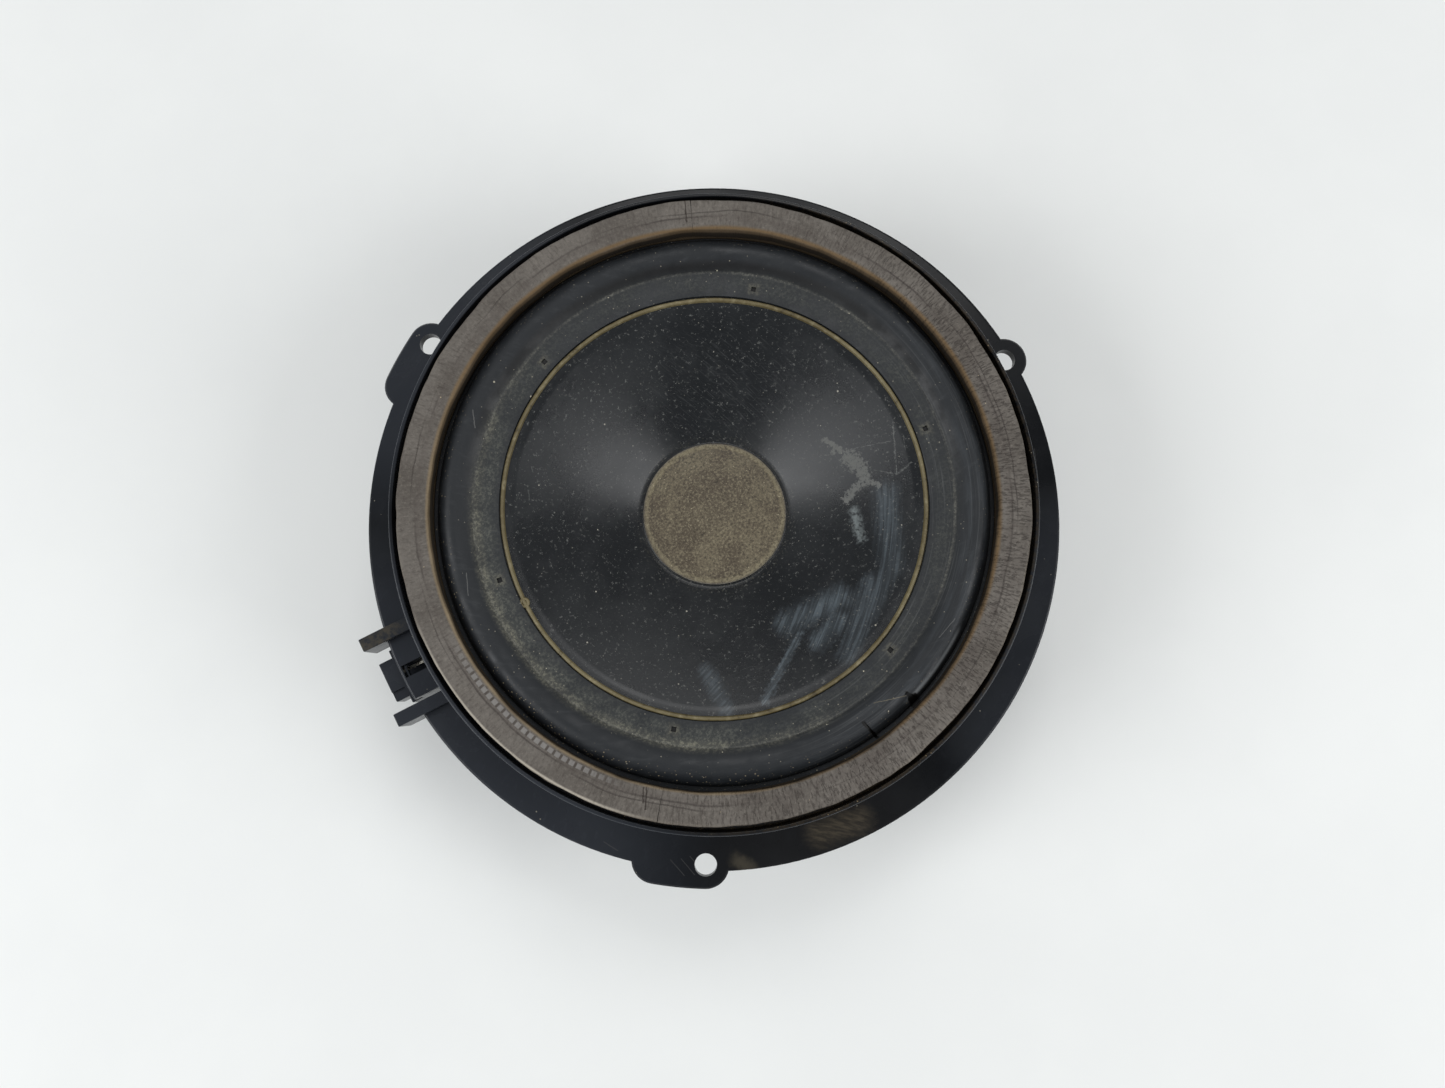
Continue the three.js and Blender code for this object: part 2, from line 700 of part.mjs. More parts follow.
function lead(v) {
  const section = new THREE.Shape();
  for (let i = 0; i < LEAD_SIDES; i += 1) {
    const angle = (i / LEAD_SIDES) * 2 * Math.PI;
    const corner = [LEAD_RADIUS * Math.cos(angle), LEAD_RADIUS * Math.sin(angle)];
    if (i === 0) section.moveTo(...corner);
    else section.lineTo(...corner);
  }
  const settings = { steps: LEAD_STEPS, bevelEnabled: false, extrudePath: leadPath(v) };
  return new THREE.ExtrudeGeometry(section, settings);
}

function leadJoint(v) {
  const ball = new THREE.SphereGeometry(BLOB_RADIUS, SMALL_STEPS, SMALL_STEPS / 2);
  return ball.translate(leadJointU + GAP / 2, v, leadJointZ);
}

for (const [side, name] of [[-1, 'positive'], [1, 'negative']]) {
  const v = (side * BLADE_SPACING) / 2;
  const width = [v - BLADE_WIDTH / 2, v + BLADE_WIDTH / 2];
  const thick = [bladeZ - BLADE_THICK / 2, bladeZ + BLADE_THICK / 2];
  addSocketNode(`terminal_blade_${name}`, block([bladeTail, bladeTip], width, thick), tinned);
  const blob = dome(BLOB_RADIUS, BLOB_RADIUS, solderU, v, solderBottom);
  addSocketNode(`solder_joint_${name}`, blob, tinned);
  addSocketNode(`tinsel_lead_${name}`, lead(v), tinselBraid);
  addSocketNode(`lead_joint_${name}`, leadJoint(v), blackGlue);
}

export default model;
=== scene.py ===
# %% [markdown]
# # A door woofer, dressed for its portrait
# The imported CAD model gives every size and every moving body. This script lays finer skins over
# it: a moulded basket, foam, rubber, cloth, glue and metal. Lengths in the helpers are written in
# millimetres because that is how a speaker maker thinks, and become metres as a mesh is made.

from functools import reduce
from math import asin, atan2, cos, pi, radians, sin, sqrt

import bmesh
import bpy
import numpy as np
from mathutils import Matrix, Vector


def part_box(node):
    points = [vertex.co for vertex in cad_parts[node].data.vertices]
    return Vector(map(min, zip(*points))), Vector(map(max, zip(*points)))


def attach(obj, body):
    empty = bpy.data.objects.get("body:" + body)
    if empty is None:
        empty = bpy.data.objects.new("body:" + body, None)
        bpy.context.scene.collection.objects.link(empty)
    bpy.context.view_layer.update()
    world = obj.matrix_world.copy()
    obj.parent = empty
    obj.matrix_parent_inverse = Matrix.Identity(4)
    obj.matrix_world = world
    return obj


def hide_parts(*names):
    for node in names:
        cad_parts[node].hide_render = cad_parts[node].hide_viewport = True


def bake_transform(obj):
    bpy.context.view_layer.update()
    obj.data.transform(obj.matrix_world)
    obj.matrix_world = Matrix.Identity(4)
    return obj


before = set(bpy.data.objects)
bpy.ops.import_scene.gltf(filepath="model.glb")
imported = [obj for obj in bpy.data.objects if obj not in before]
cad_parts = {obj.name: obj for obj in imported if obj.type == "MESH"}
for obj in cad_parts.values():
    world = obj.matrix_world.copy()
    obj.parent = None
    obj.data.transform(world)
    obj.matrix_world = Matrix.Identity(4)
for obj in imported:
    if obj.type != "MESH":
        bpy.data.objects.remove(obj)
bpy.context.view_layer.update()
scene = bpy.context.scene
MM = 0.001


# %% [markdown]
# ## Sizes read from the frame
# A round node's box gives its outer radius and its lowest and highest point. Reading them here
# keeps each skin on its solid, so nothing has to be fitted by eye.

# %% Radii and heights of the nodes
def radius_of(node):
    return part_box(node)[1].y / MM


def bottom_of(node):
    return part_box(node)[0].z / MM


def top_of(node):
    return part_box(node)[1].z / MM


POLE_R, NECK_R, LIP_R = 12.2, 13.2, 49.0
BOWL_R, WALL, RIM_IN, RIM_R, COLLAR_R, FLANGE_R = 75.5, 2.5, 76.2, 77.2, 79.0, 88.0
ROLL_IN, ROLL_OUT, GASKET_IN = 57.2, 66.3, 66.9
PLATE_GAP, FLOOR_THICK, LEDGE_RISE, FLANGE_RISE, FLANGE_THICK = 0.3, 2.5, 8.6, 19.6, 3
BOWL_DROP, SEAT_DEPTH, CONE_DEPTH = 10.5, 4.4, 17.6
PIT_R, PIT_TURN = 53.85, 8.7
TEAR = (radians(-84.6), radians(-73.6))
gasket_out = radius_of("foam_gasket")
gasket_low, gasket_top = bottom_of("foam_gasket"), top_of("foam_gasket")
plate_low, plate_top = bottom_of("top_plate"), top_of("top_plate")
floor_low = plate_top + PLATE_GAP
floor_top = floor_low + FLOOR_THICK
ledge_top = floor_top + LEDGE_RISE
flange_top = floor_top + FLANGE_RISE
flange_low = flange_top - FLANGE_THICK
bowl_low = flange_low - BOWL_DROP
rim_top = top_of("basket")
seat_top = rim_top - SEAT_DEPTH
lip_top = top_of("cone")
neck_top = lip_top - CONE_DEPTH
print("gasket", gasket_out, gasket_low, gasket_top, "rim", rim_top, "lip", lip_top)

# %% [markdown]
# ## Camera
# The speaker lies on its motor and is seen from above and a little from one side. The view is
# turned about the axis so that the plug socket comes out at the lower left.

# %% Camera above the cone
VIEW_TURN = radians(-28.56)
camera_data = bpy.data.cameras.new("portrait_camera")
camera_data.sensor_width = 36
camera_data.lens = 28.02
camera_data.clip_start, camera_data.clip_end = 0.01, 10
camera = bpy.data.objects.new("portrait_camera", camera_data)
scene.collection.objects.link(camera)
stand = Matrix.Rotation(VIEW_TURN, 4, "Z")
tilt = Matrix.Rotation(0.131, 4, "X") @ Matrix.Rotation(-0.006, 4, "Y")
camera.matrix_world = Matrix.Translation(stand @ Vector((0.27, -44.5, 330.9)) * MM) @ stand @ tilt
scene.camera = camera
print("camera height, mm:", round(camera.matrix_world.translation.z / MM, 1))

# %% [markdown]
# ## Studio
# A black cone shows its shape only by what it mirrors. Two wide soft boxes stand left and right,
# so the cone's side walls pick up a pale sheen while its upper and lower walls stay dark. A weaker
# one hangs high beyond the far edge, and an even, low world light keeps shadows soft.


# %% Soft boxes, world and view
def soft_box(name, heading, height, distance, size, power, tint=(1, 1, 1)):
    data = bpy.data.lights.new(name, "AREA")
    data.shape, data.size, data.size_y = "RECTANGLE", size[0], size[1]
    data.energy, data.color = power, tint
    lamp = bpy.data.objects.new(name, data)
    scene.collection.objects.link(lamp)
    out = Vector((cos(heading) * cos(height), sin(heading) * cos(height), sin(height)))
    lamp.location = out * distance
    lamp.rotation_mode = "QUATERNION"
    lamp.rotation_quaternion = out.to_track_quat("Z", "Y")
    return lamp


soft_box("left_box", pi + VIEW_TURN + 0.34, radians(40), 1.1, (0.62, 0.6), 6.5, (0.97, 0.985, 1.0))
soft_box("right_box", VIEW_TURN - 0.30, radians(38), 1.1, (0.62, 0.6), 5.8, (0.98, 0.99, 1.0))
soft_box("top_box", VIEW_TURN + 1.45, radians(60), 1.3, (0.6, 0.5), 3.6)
world = bpy.data.worlds.new("pale_room")
world.use_nodes = True
world.node_tree.nodes["Background"].inputs["Color"].default_value = (0.96, 0.98, 1.0, 1)
world.node_tree.nodes["Background"].inputs["Strength"].default_value = 0.36
scene.world = world
scene.view_settings.view_transform = "Standard"

# %% [markdown]
# ## A small vocabulary for node trees
# Shader trees get long when each node takes four lines. These helpers add a node, link or fill
# its sockets and hand back what the next node needs.


# %% Node helpers
def is_socket(value):
    return isinstance(value, bpy.types.NodeSocket)


def tree_of(*values):
    """The node tree that the first socket among the values belongs to."""
    return next(value.id_data for value in values if is_socket(value))


def feed(socket, value):
    """Links a socket to another one, or fills in a plain value."""
    if is_socket(value):
        socket.id_data.links.new(value, socket)
    else:
        socket.default_value = value


def add(tree, kind, inputs=None, **settings):
    node = tree.nodes.new(kind)
    for key, value in settings.items():
        setattr(node, key, value)
    for key, value in (inputs or {}).items():
        feed(node.inputs[key], value)
    return node


def maths(operation, a, b=0.0, c=0.0, clamp=False):
    values = {0: a, 1: b, 2: c}
    return add(tree_of(a, b, c), "ShaderNodeMath", values, operation=operation, use_clamp=clamp).outputs[0]


def chain(operation):
    """A function that works through any number of values with one operation."""
    return lambda *values: reduce(lambda a, b: maths(operation, a, b), values)


times, plus, minus, most = chain("MULTIPLY"), chain("ADD"), chain("SUBTRACT"), chain("MAXIMUM")


def vector_maths(operation, a, b=(0, 0, 0)):
    node = add(tree_of(a, b), "ShaderNodeVectorMath", {0: a}, operation=operation)
    feed(node.inputs["Scale" if operation == "SCALE" else 1], b)
    return node.outputs["Value" if operation in ("LENGTH", "DOT_PRODUCT") else "Vector"]


def parts_of(vector):
    """The x, y and z of a vector."""
    return add(tree_of(vector), "ShaderNodeSeparateXYZ", {0: vector}).outputs


def joined(x=0.0, y=0.0, z=0.0):
    return add(tree_of(x, y, z), "ShaderNodeCombineXYZ", {0: x, 1: y, 2: z}).outputs[0]


def in_mm(vector):
    return vector_maths("SCALE", vector, 1 / MM)


def flat_of(vector):
    """A vector with its height taken away."""
    return vector_maths("MULTIPLY", vector, (1, 1, 0))


def ramp(value, low, high, out_low=0.0, out_high=1.0):
    inputs = {"Value": value, "From Min": low, "From Max": high, "To Min": out_low, "To Max": out_high}
    return add(
        tree_of(value), "ShaderNodeMapRange", inputs, interpolation_type="SMOOTHSTEP",
    ).outputs["Result"]


def blend_colour(factor, a, b):
    node = add(tree_of(factor, a, b), "ShaderNodeMix", {0: factor}, data_type="RGBA")
    for socket, value in ((node.inputs[6], a), (node.inputs[7], b)):
        feed(socket, value if is_socket(value) else (*value, 1))
    return node.outputs[2]


def noise(vector, scale, detail=2.0, rough=0.5, output="Fac"):
    inputs = {"Vector": vector, "Scale": scale, "Detail": detail, "Roughness": rough}
    return add(tree_of(vector), "ShaderNodeTexNoise", inputs).outputs[output]


def effect(name, output="Mask", **inputs):
    """Makes a shader node group of a function from the group's inputs to one value.

    Its name then places the group in a material: it takes the place, then values for the inputs.
    """
    def build(draw):
        group = bpy.data.node_groups.new(name, "ShaderNodeTree")
        for label, value in {"Vector": (0.0, 0.0, 0.0), **inputs}.items():
            kind = "NodeSocketVector" if isinstance(value, tuple) else "NodeSocketFloat"
            group.interface.new_socket(label, in_out="INPUT", socket_type=kind).default_value = value
        group.interface.new_socket(output, in_out="OUTPUT", socket_type="NodeSocketFloat")
        start = group.nodes.new("NodeGroupInput")
        feed(group.nodes.new("NodeGroupOutput").inputs[output], draw(start.outputs))

        def place(where, *values, **named):
            named = {"Vector": where, **dict(zip(inputs, values)), **named}
            return add(where.id_data, "ShaderNodeGroup", named, node_tree=group).outputs[0]

        return place

    return build


# %% [markdown]
# ## Shared effects
# Dust grains, rings, strokes and spots turn up on nearly every surface of a used speaker. Each is
# one group with named inputs, so that every material places the same effect with its own values.


# %% Grains: tiny bright specks in random places
@effect("Grains", Spacing=2.0, Size=0.12, Share=0.4)
def grains(given):
    wide = maths("DIVIDE", 1.0, given["Spacing"])
    cells = add(wide.id_data, "ShaderNodeTexVoronoi", {"Vector": in_mm(given["Vector"]), "Scale": wide})
    dice = add(wide.id_data, "ShaderNodeSeparateColor", {0: cells.outputs["Color"]})
    chosen = maths("LESS_THAN", dice.outputs[0], given["Share"])
    size = times(given["Size"], plus(times(maths("POWER", dice.outputs[1], 2.0), 0.75), 0.4))
    return times(chosen, maths("LESS_THAN", cells.outputs["Distance"], size))


# %% Ring mark: a soft band at one radius that wanders a little
@effect("Ring mark", Radius=70.0, Width=1.0, Wander=0.0)
def ring_mark(given):
    flat = flat_of(in_mm(given["Vector"]))
    wave = times(minus(noise(flat, 0.06, 3.0), 0.5), given["Wander"])
    offset = maths("ABSOLUTE", minus(plus(vector_maths("LENGTH", flat), wave), given["Radius"]))
    return ramp(maths("DIVIDE", offset, given["Width"]), 0.0, 1.0, 1.0, 0.0)


# %% Strokes: wiping marks that run in arcs about a far centre
@effect("Strokes", Centre=(0.0, 0.0, 0.0), Fineness=3.0, Run=4.0, Low=0.55, High=0.75)
def strokes(given):
    place = vector_maths("SUBTRACT", in_mm(given["Vector"]), given["Centre"])
    x, y, _ = parts_of(place)
    away = times(vector_maths("LENGTH", flat_of(place)), given["Fineness"])
    turn = times(maths("ARCTAN2", y, x), given["Run"])
    return ramp(noise(joined(away, turn), 1.0, 4.0, 0.65), given["Low"], given["High"])


# %% Spot: one ragged patch with a place, a size and a turn
@effect("Spot", Centre=(0.0, 0.0, 0.0), Long=5.0, Broad=3.0, Turn=0.0, Ragged=1.0, Soft=0.5)
def spot(given):
    place = in_mm(given["Vector"])
    shift = vector_maths("SUBTRACT", noise(place, 0.45, 5.0, 0.65, "Color"), (0.5, 0.5, 0.5))
    push = vector_maths("SCALE", shift, given["Ragged"])
    moved = vector_maths("ADD", vector_maths("SUBTRACT", place, given["Centre"]), push)
    spun = {"Vector": moved, "Angle": given["Turn"]}
    x, y, _ = parts_of(add(moved.id_data, "ShaderNodeVectorRotate", spun, rotation_type="Z_AXIS").outputs[0])
    away = vector_maths(
        "LENGTH", joined(maths("DIVIDE", x, given["Long"]), maths("DIVIDE", y, given["Broad"])),
    )
    return ramp(away, minus(1.0, given["Soft"]), 1.0, 1.0, 0.0)


# %% Scratch: a line between two places, as fine as a hair or as broad as a thumb
@effect("Scratch", From=(0.0, 0.0, 0.0), To=(1.0, 0.0, 0.0), Width=0.3, Ragged=0.0, Soft=0.5)
def scratch(given):
    place = flat_of(in_mm(given["Vector"]))
    start = flat_of(given["From"])
    whole = vector_maths("SUBTRACT", flat_of(given["To"]), start)
    shift = vector_maths("SUBTRACT", noise(place, 0.9, 6.0, 0.7, "Color"), (0.5, 0.5, 0.5))
    push = flat_of(vector_maths("SCALE", shift, given["Ragged"]))
    here = vector_maths("ADD", vector_maths("SUBTRACT", place, start), push)
    along, size = vector_maths("DOT_PRODUCT", here, whole), vector_maths("DOT_PRODUCT", whole, whole)
    share = maths("DIVIDE", along, size, clamp=True)
    off = vector_maths("LENGTH", vector_maths("SUBTRACT", here, vector_maths("SCALE", whole, share)))
    return ramp(maths("DIVIDE", off, given["Width"]), minus(1.0, given["Soft"]), 1.0, 1.0, 0.0)


def scratches(where, ragged, soft, *lines):
    """The brightest of several scratches, each with a start, an end and a width."""
    return most(*(
        scratch(where, (*start, 0.0), (*end, 0.0), width, ragged, soft) for start, end, width in lines
    ))


# %% Side: how far a point lies towards one heading, from 0 to 1
@effect("Side", Heading=0.0, Low=-0.2, High=1.0)
def side(given):
    flat = vector_maths("NORMALIZE", flat_of(given["Vector"]))
    aim = joined(maths("COSINE", given["Heading"]), maths("SINE", given["Heading"]))
    return ramp(vector_maths("DOT_PRODUCT", flat, aim), given["Low"], given["High"])


def towards(where, degrees, low, high):
    return side(where, radians(degrees), low, high)


# %% Wrinkle: noise that runs out from the axis like spokes
@effect("Wrinkle", output="Value", Fineness=60.0, Reach=0.1)
def wrinkle(given):
    flat = flat_of(in_mm(given["Vector"]))
    around = vector_maths("SCALE", vector_maths("NORMALIZE", flat), given["Fineness"])
    rise = joined(z=times(vector_maths("LENGTH", flat), given["Reach"]))
    return noise(vector_maths("ADD", around, rise), 1.0, 4.0, 0.6)


print("shared effects:", [group.name for group in bpy.data.node_groups])


# %% [markdown]
# ## Materials
# Each finish starts from one helper that makes a Principled surface and hands back its shader and
# the Object coordinates. Masks then mix colours and change roughness, and a Bump node gives the
# surface its grain.


# %% A fresh surface and its last links
def surface(name, roughness, metallic=0.0, specular=0.5, **fixed):
    material = bpy.data.materials.new(name)
    material.use_nodes = True
    tree = material.node_tree
    shader = tree.nodes["Principled BSDF"]
    shader.inputs["Roughness"].default_value = roughness
    shader.inputs["Metallic"].default_value = metallic
    shader.inputs["Specular IOR Level"].default_value = specular
    for key, value in fixed.items():
        shader.inputs[key.replace("_", " ")].default_value = value
    where = tree.nodes.new("ShaderNodeTexCoord").outputs["Object"]
    return material, shader, where


def dress(shader, colour, height, strength, distance, rough=None, coat=None):
    """Links colour, grain height and, where they vary, roughness and coat to the shader."""
    feed(shader.inputs["Base Color"], colour)
    for label, value in (("Roughness", rough), ("Coat Weight", coat)):
        if value:
            feed(shader.inputs[label], value)
    bump = {"Height": height, "Strength": strength, "Distance": distance * MM}
    feed(shader.inputs["Normal"], add(shader.id_data, "ShaderNodeBump", bump).outputs[0])


def lay(colour, *layers):
    """Puts (mask, colour) layers over a first colour, one after the other."""
    for mask, over in layers:
        colour = blend_colour(mask, colour, over)
    return colour


DUST = (0.20, 0.17, 0.115)
PALE_DUST = (0.42, 0.39, 0.31)
GREY_FILM = (0.10, 0.105, 0.11)


# %% [markdown]
# ## Basket plastic
# Glass-filled nylon is a satin black that shows every rub. A picture of dirt could be wrapped on
# it; masks by place are used, because they sit on the moulding and stay sharp at any distance.


# %% Basket plastic: satin black with a dusty smear and a painted highlight by the lowest ear, and painted sheen and reflections on the flange
def basket_plastic():
    material, shader, where = surface("basket_plastic", 0.3, specular=0.17)
    height = parts_of(where)[2]
    mottle = noise(where, 34.0, 5.0, 0.6)
    fine = noise(where, 2600.0, 2.0)
    # Wiped dust strokes that also paint a pale bluish reflection gradient over the flange.
    wiped_haze_and_sheen = strokes(where, Centre=(60.0, -190.0, 0.0), Fineness=0.5, Run=40.0, Low=0.5, High=0.85)
    # A dusty smear right of the lowest ear, also painted as a soft brown glossy highlight.
    smear_and_highlight = scratch(where, From=(-15.0, -81.5, 0.0), To=(-5.0, -83.5, 0.0), Width=5.5, Ragged=3.0, Soft=1.0)
    streak = strokes(where, Centre=(-60.0, -140.0, 0.0), Fineness=1.3, Run=16.0, Low=0.3, High=0.72)
    beside = spot(where, Centre=(-35.0, -79.0, 48.0), Long=5.0, Broad=3.0, Turn=1.0, Ragged=4.0, Soft=0.95)
    # A painted brownish reflection, tinted like dust, on the flange towards its lowest side.
    dusty_reflection = towards(where, -101, 0.90, 1.0)
    # film paints dust haze and sheen together: a bluish lightening on the lower left, upper left and right of
    # the flange, where reflected light falls.
    film = most(towards(where, -164, 0.66, 0.96), towards(where, 120, 0.80, 0.98))
    film = most(film, times(towards(where, -50, 0.88, 0.97), 0.62))
    film = times(film, ramp(wiped_haze_and_sheen, 0.0, 1.0, 0.72, 1.0))
    groove = ring_mark(where, 75.6, 3.2, 0.8)
    flat = flat_of(where)
    within = ramp(vector_maths("LENGTH", flat), 0.0763, 0.0766, 1.0, 0.0)
    seat = times(groove, within, ramp(height, 0.0680, 0.0650), ramp(height, 0.0610, 0.0622))
    right = towards(where, -35, -0.6, 0.7)
    brown = times(seat, ramp(noise(where, 700.0, 5.0, 0.75), 0.40, 0.60))
    brown = times(brown, ramp(right, 0.0, 1.0, 0.25, 1.0))
    specks = grains(where, 2.4, 0.08, 0.45)
    rim = times(ring_mark(where, 76.4, 1.3, 0.5), ramp(height, 0.0600, 0.0615))
    rim = times(rim, ramp(noise(where, 800.0, 5.0, 0.75), 0.38, 0.56))
    rim = times(rim, ramp(right, 0.3, 1.0))
    # Here worn paints a highlight: a thin pale line along the rim's outer edge, where light catches it.
    worn = times(ring_mark(where, 77.25, 0.4, 0.1), ramp(height, 0.0630, 0.0645))
    crumbs = times(grains(where, 0.75, 0.2, 0.5), most(seat, rim))
    rail = spot(where, Centre=(-88.0, 13.0, 50.5), Long=9.0, Broad=4.0, Turn=0.0, Ragged=3.0, Soft=0.6)
    rail = times(rail, ramp(noise(where, 600.0, 5.0, 0.7), 0.35, 0.65))
    rail = times(rail, ramp(height, 0.0490, 0.0500))
    smear_and_highlight = times(smear_and_highlight, ramp(streak, 0.0, 1.0, 0.35, 1.0))
    hairs = scratches(
        where, 0.25, 0.6, ((-62.5, -58.0), (-60.5, -61.5), 0.14), ((-50.2, -69.6), (-49.0, -74.5), 0.12),
        ((-47.8, -70.6), (-46.7, -75.6), 0.12), ((-45.6, -71.2), (-44.4, -76.6), 0.14),
        ((-43.2, -72.8), (-42.2, -77.6), 0.10), ((80.5, -24.0), (76.5, -33.0), 0.10),
    )
    colour = lay(
        blend_colour(ramp(mottle, 0.3, 0.7), (0.0022, 0.0028, 0.0040), (0.0042, 0.0052, 0.0068)),
        (times(film, 0.62), (0.050, 0.056, 0.068)), (times(wiped_haze_and_sheen, 0.05), (0.05, 0.055, 0.065)),
        (times(dusty_reflection, 0.10), (0.05, 0.045, 0.04)), (times(smear_and_highlight, 0.5), (0.115, 0.092, 0.06)),
        (times(beside, 0.22), DUST), (times(brown, 0.75), (0.060, 0.044, 0.026)),
        (times(rim, 0.7), (0.034, 0.025, 0.015)), (times(worn, 0.6), (0.062, 0.069, 0.080)),
        (crumbs, (0.19, 0.145, 0.085)), (times(rail, 0.6), (0.085, 0.072, 0.050)),
        (times(hairs, 0.35), (0.09, 0.088, 0.085)), (times(specks, 0.55), PALE_DUST),
    )
    dull = plus(ramp(mottle, 0.35, 0.65, 0.19, 0.36), times(brown, 0.5))
    rough = maths("ADD", dull, times(smear_and_highlight, 0.25), clamp=True)
    slow = times(noise(where, 90.0, 2.0), 3.0)
    dress(shader, colour, plus(fine, slow), 0.10, 0.03, rough=rough)
    return material


# %% [markdown]
# ## Foam
# Old closed foam dries to a grey-brown skin with fine cracks that run outwards, and keeps what was
# pressed on it. Cracks could be cut as geometry, but they are so shallow that bump does them.


# %% Gasket foam: grey-brown skin, spoke cracks, pressed rings, a row of plate prints, a painted highlight on its lower left edge and painted shade low on its walls
def gasket_foam():
    material, shader, where = surface("gasket_foam", 0.85, specular=0.2)
    x, y, height = parts_of(where)
    side_wall = ramp(height, 0.0709, 0.0702)
    # Painted shade: the lower part of the foam's walls, in the groove by the rim and the gutter by the roll,
    # is darkened almost to black.
    low_wall_shade = ramp(height, 0.0699, 0.0686)
    spokes = wrinkle(where, 130.0, 0.35)
    short = wrinkle(where, 170.0, 0.55)
    skin = noise(where, 1300.0, 5.0, 0.75)
    cloud = noise(where, 60.0, 4.0, 0.6)
    first = ring_mark(where, 69.9, 0.34, 1.6)
    second = ring_mark(where, 71.0, 0.24, 2.4)
    pressed = ring_mark(where, 69.4, 1.3, 1.4)
    fade = ramp(noise(where, 30.0, 3.0), 0.42, 0.64, 0.05, 0.8)
    other = ramp(noise(vector_maths("SCALE", where, -1.0), 26.0, 3.0), 0.42, 0.6)
    lines = most(times(first, fade), times(second, times(other, 0.7)))
    inner = times(ring_mark(where, 66.95, 0.95, 0.6), 0.95)
    outer = times(ring_mark(where, 74.6, 0.75, 0.8), fade)
    step = maths("FRACT", times(maths("ARCTAN2", y, x), 36.5))
    bars = times(ramp(step, 0.04, 0.20), ramp(step, 0.74, 0.90, 1.0, 0.0))
    track = ramp(ring_mark(where, 68.6, 0.85, 0.5), 0.10, 0.34)
    stretch = towards(where, -158, 0.915, 0.985)
    prints = times(bars, track, stretch)
    right = towards(where, -45, -0.5, 0.9)
    cracks = times(ramp(short, 0.53, 0.62), ramp(right, 0.0, 1.0, 0.25, 1.0))
    gaps = times(minus(1.0, bars), track, stretch)
    lower = towards(where, -165, 0.2, 0.9)
    lit = times(ring_mark(where, 74.45, 0.55, 0.3), towards(where, -159, 0.86, 0.97))
    seams = scratches(
        where, 0.9, 0.5, ((26.8, 63.4), (29.6, 69.8), 0.22), ((-44.8, -50.2), (-47.6, -54.6), 0.25),
        ((-45.6, -50.2), (-47.4, -53.2), 0.2),
    )
    colour = lay(
        blend_colour(ramp(cloud, 0.3, 0.7), (0.092, 0.081, 0.070), (0.142, 0.128, 0.113)),
        (ramp(spokes, 0.5, 0.72, 0.0, 0.5), (0.060, 0.050, 0.043)),
        (ramp(skin, 0.50, 0.72, 0.0, 0.55), (0.20, 0.18, 0.155)),
        (ramp(skin, 0.48, 0.32, 0.0, 0.5), (0.062, 0.052, 0.045)),
        (times(pressed, 0.25), (0.075, 0.062, 0.055)), (times(lines, 0.75), (0.036, 0.029, 0.026)),
        (times(cracks, 0.42), (0.036, 0.029, 0.025)), (times(seams, 0.8), (0.03, 0.024, 0.02)),
        (times(prints, 0.62), (0.235, 0.225, 0.215)), (times(gaps, 0.6), (0.045, 0.037, 0.032)),
        (inner, (0.135, 0.088, 0.044)), (times(inner, lower), (0.27, 0.215, 0.14)),
        (times(outer, 0.4), (0.24, 0.21, 0.17)), (times(lit, 0.8), (0.46, 0.42, 0.35)),
        (times(side_wall, 0.7), (0.085, 0.058, 0.032)), (times(low_wall_shade, 0.92), (0.012, 0.009, 0.006)),
        (grains(where, 2.4, 0.06, 0.3), (0.36, 0.30, 0.2)),
    )
    relief = minus(plus(times(spokes, 0.7), times(skin, 0.5)), times(lines, 1.2))
    relief = minus(plus(relief, times(prints, 0.5)), plus(cracks, times(pressed, 0.5)))
    dress(shader, colour, relief, 0.8, 0.2)
    return material
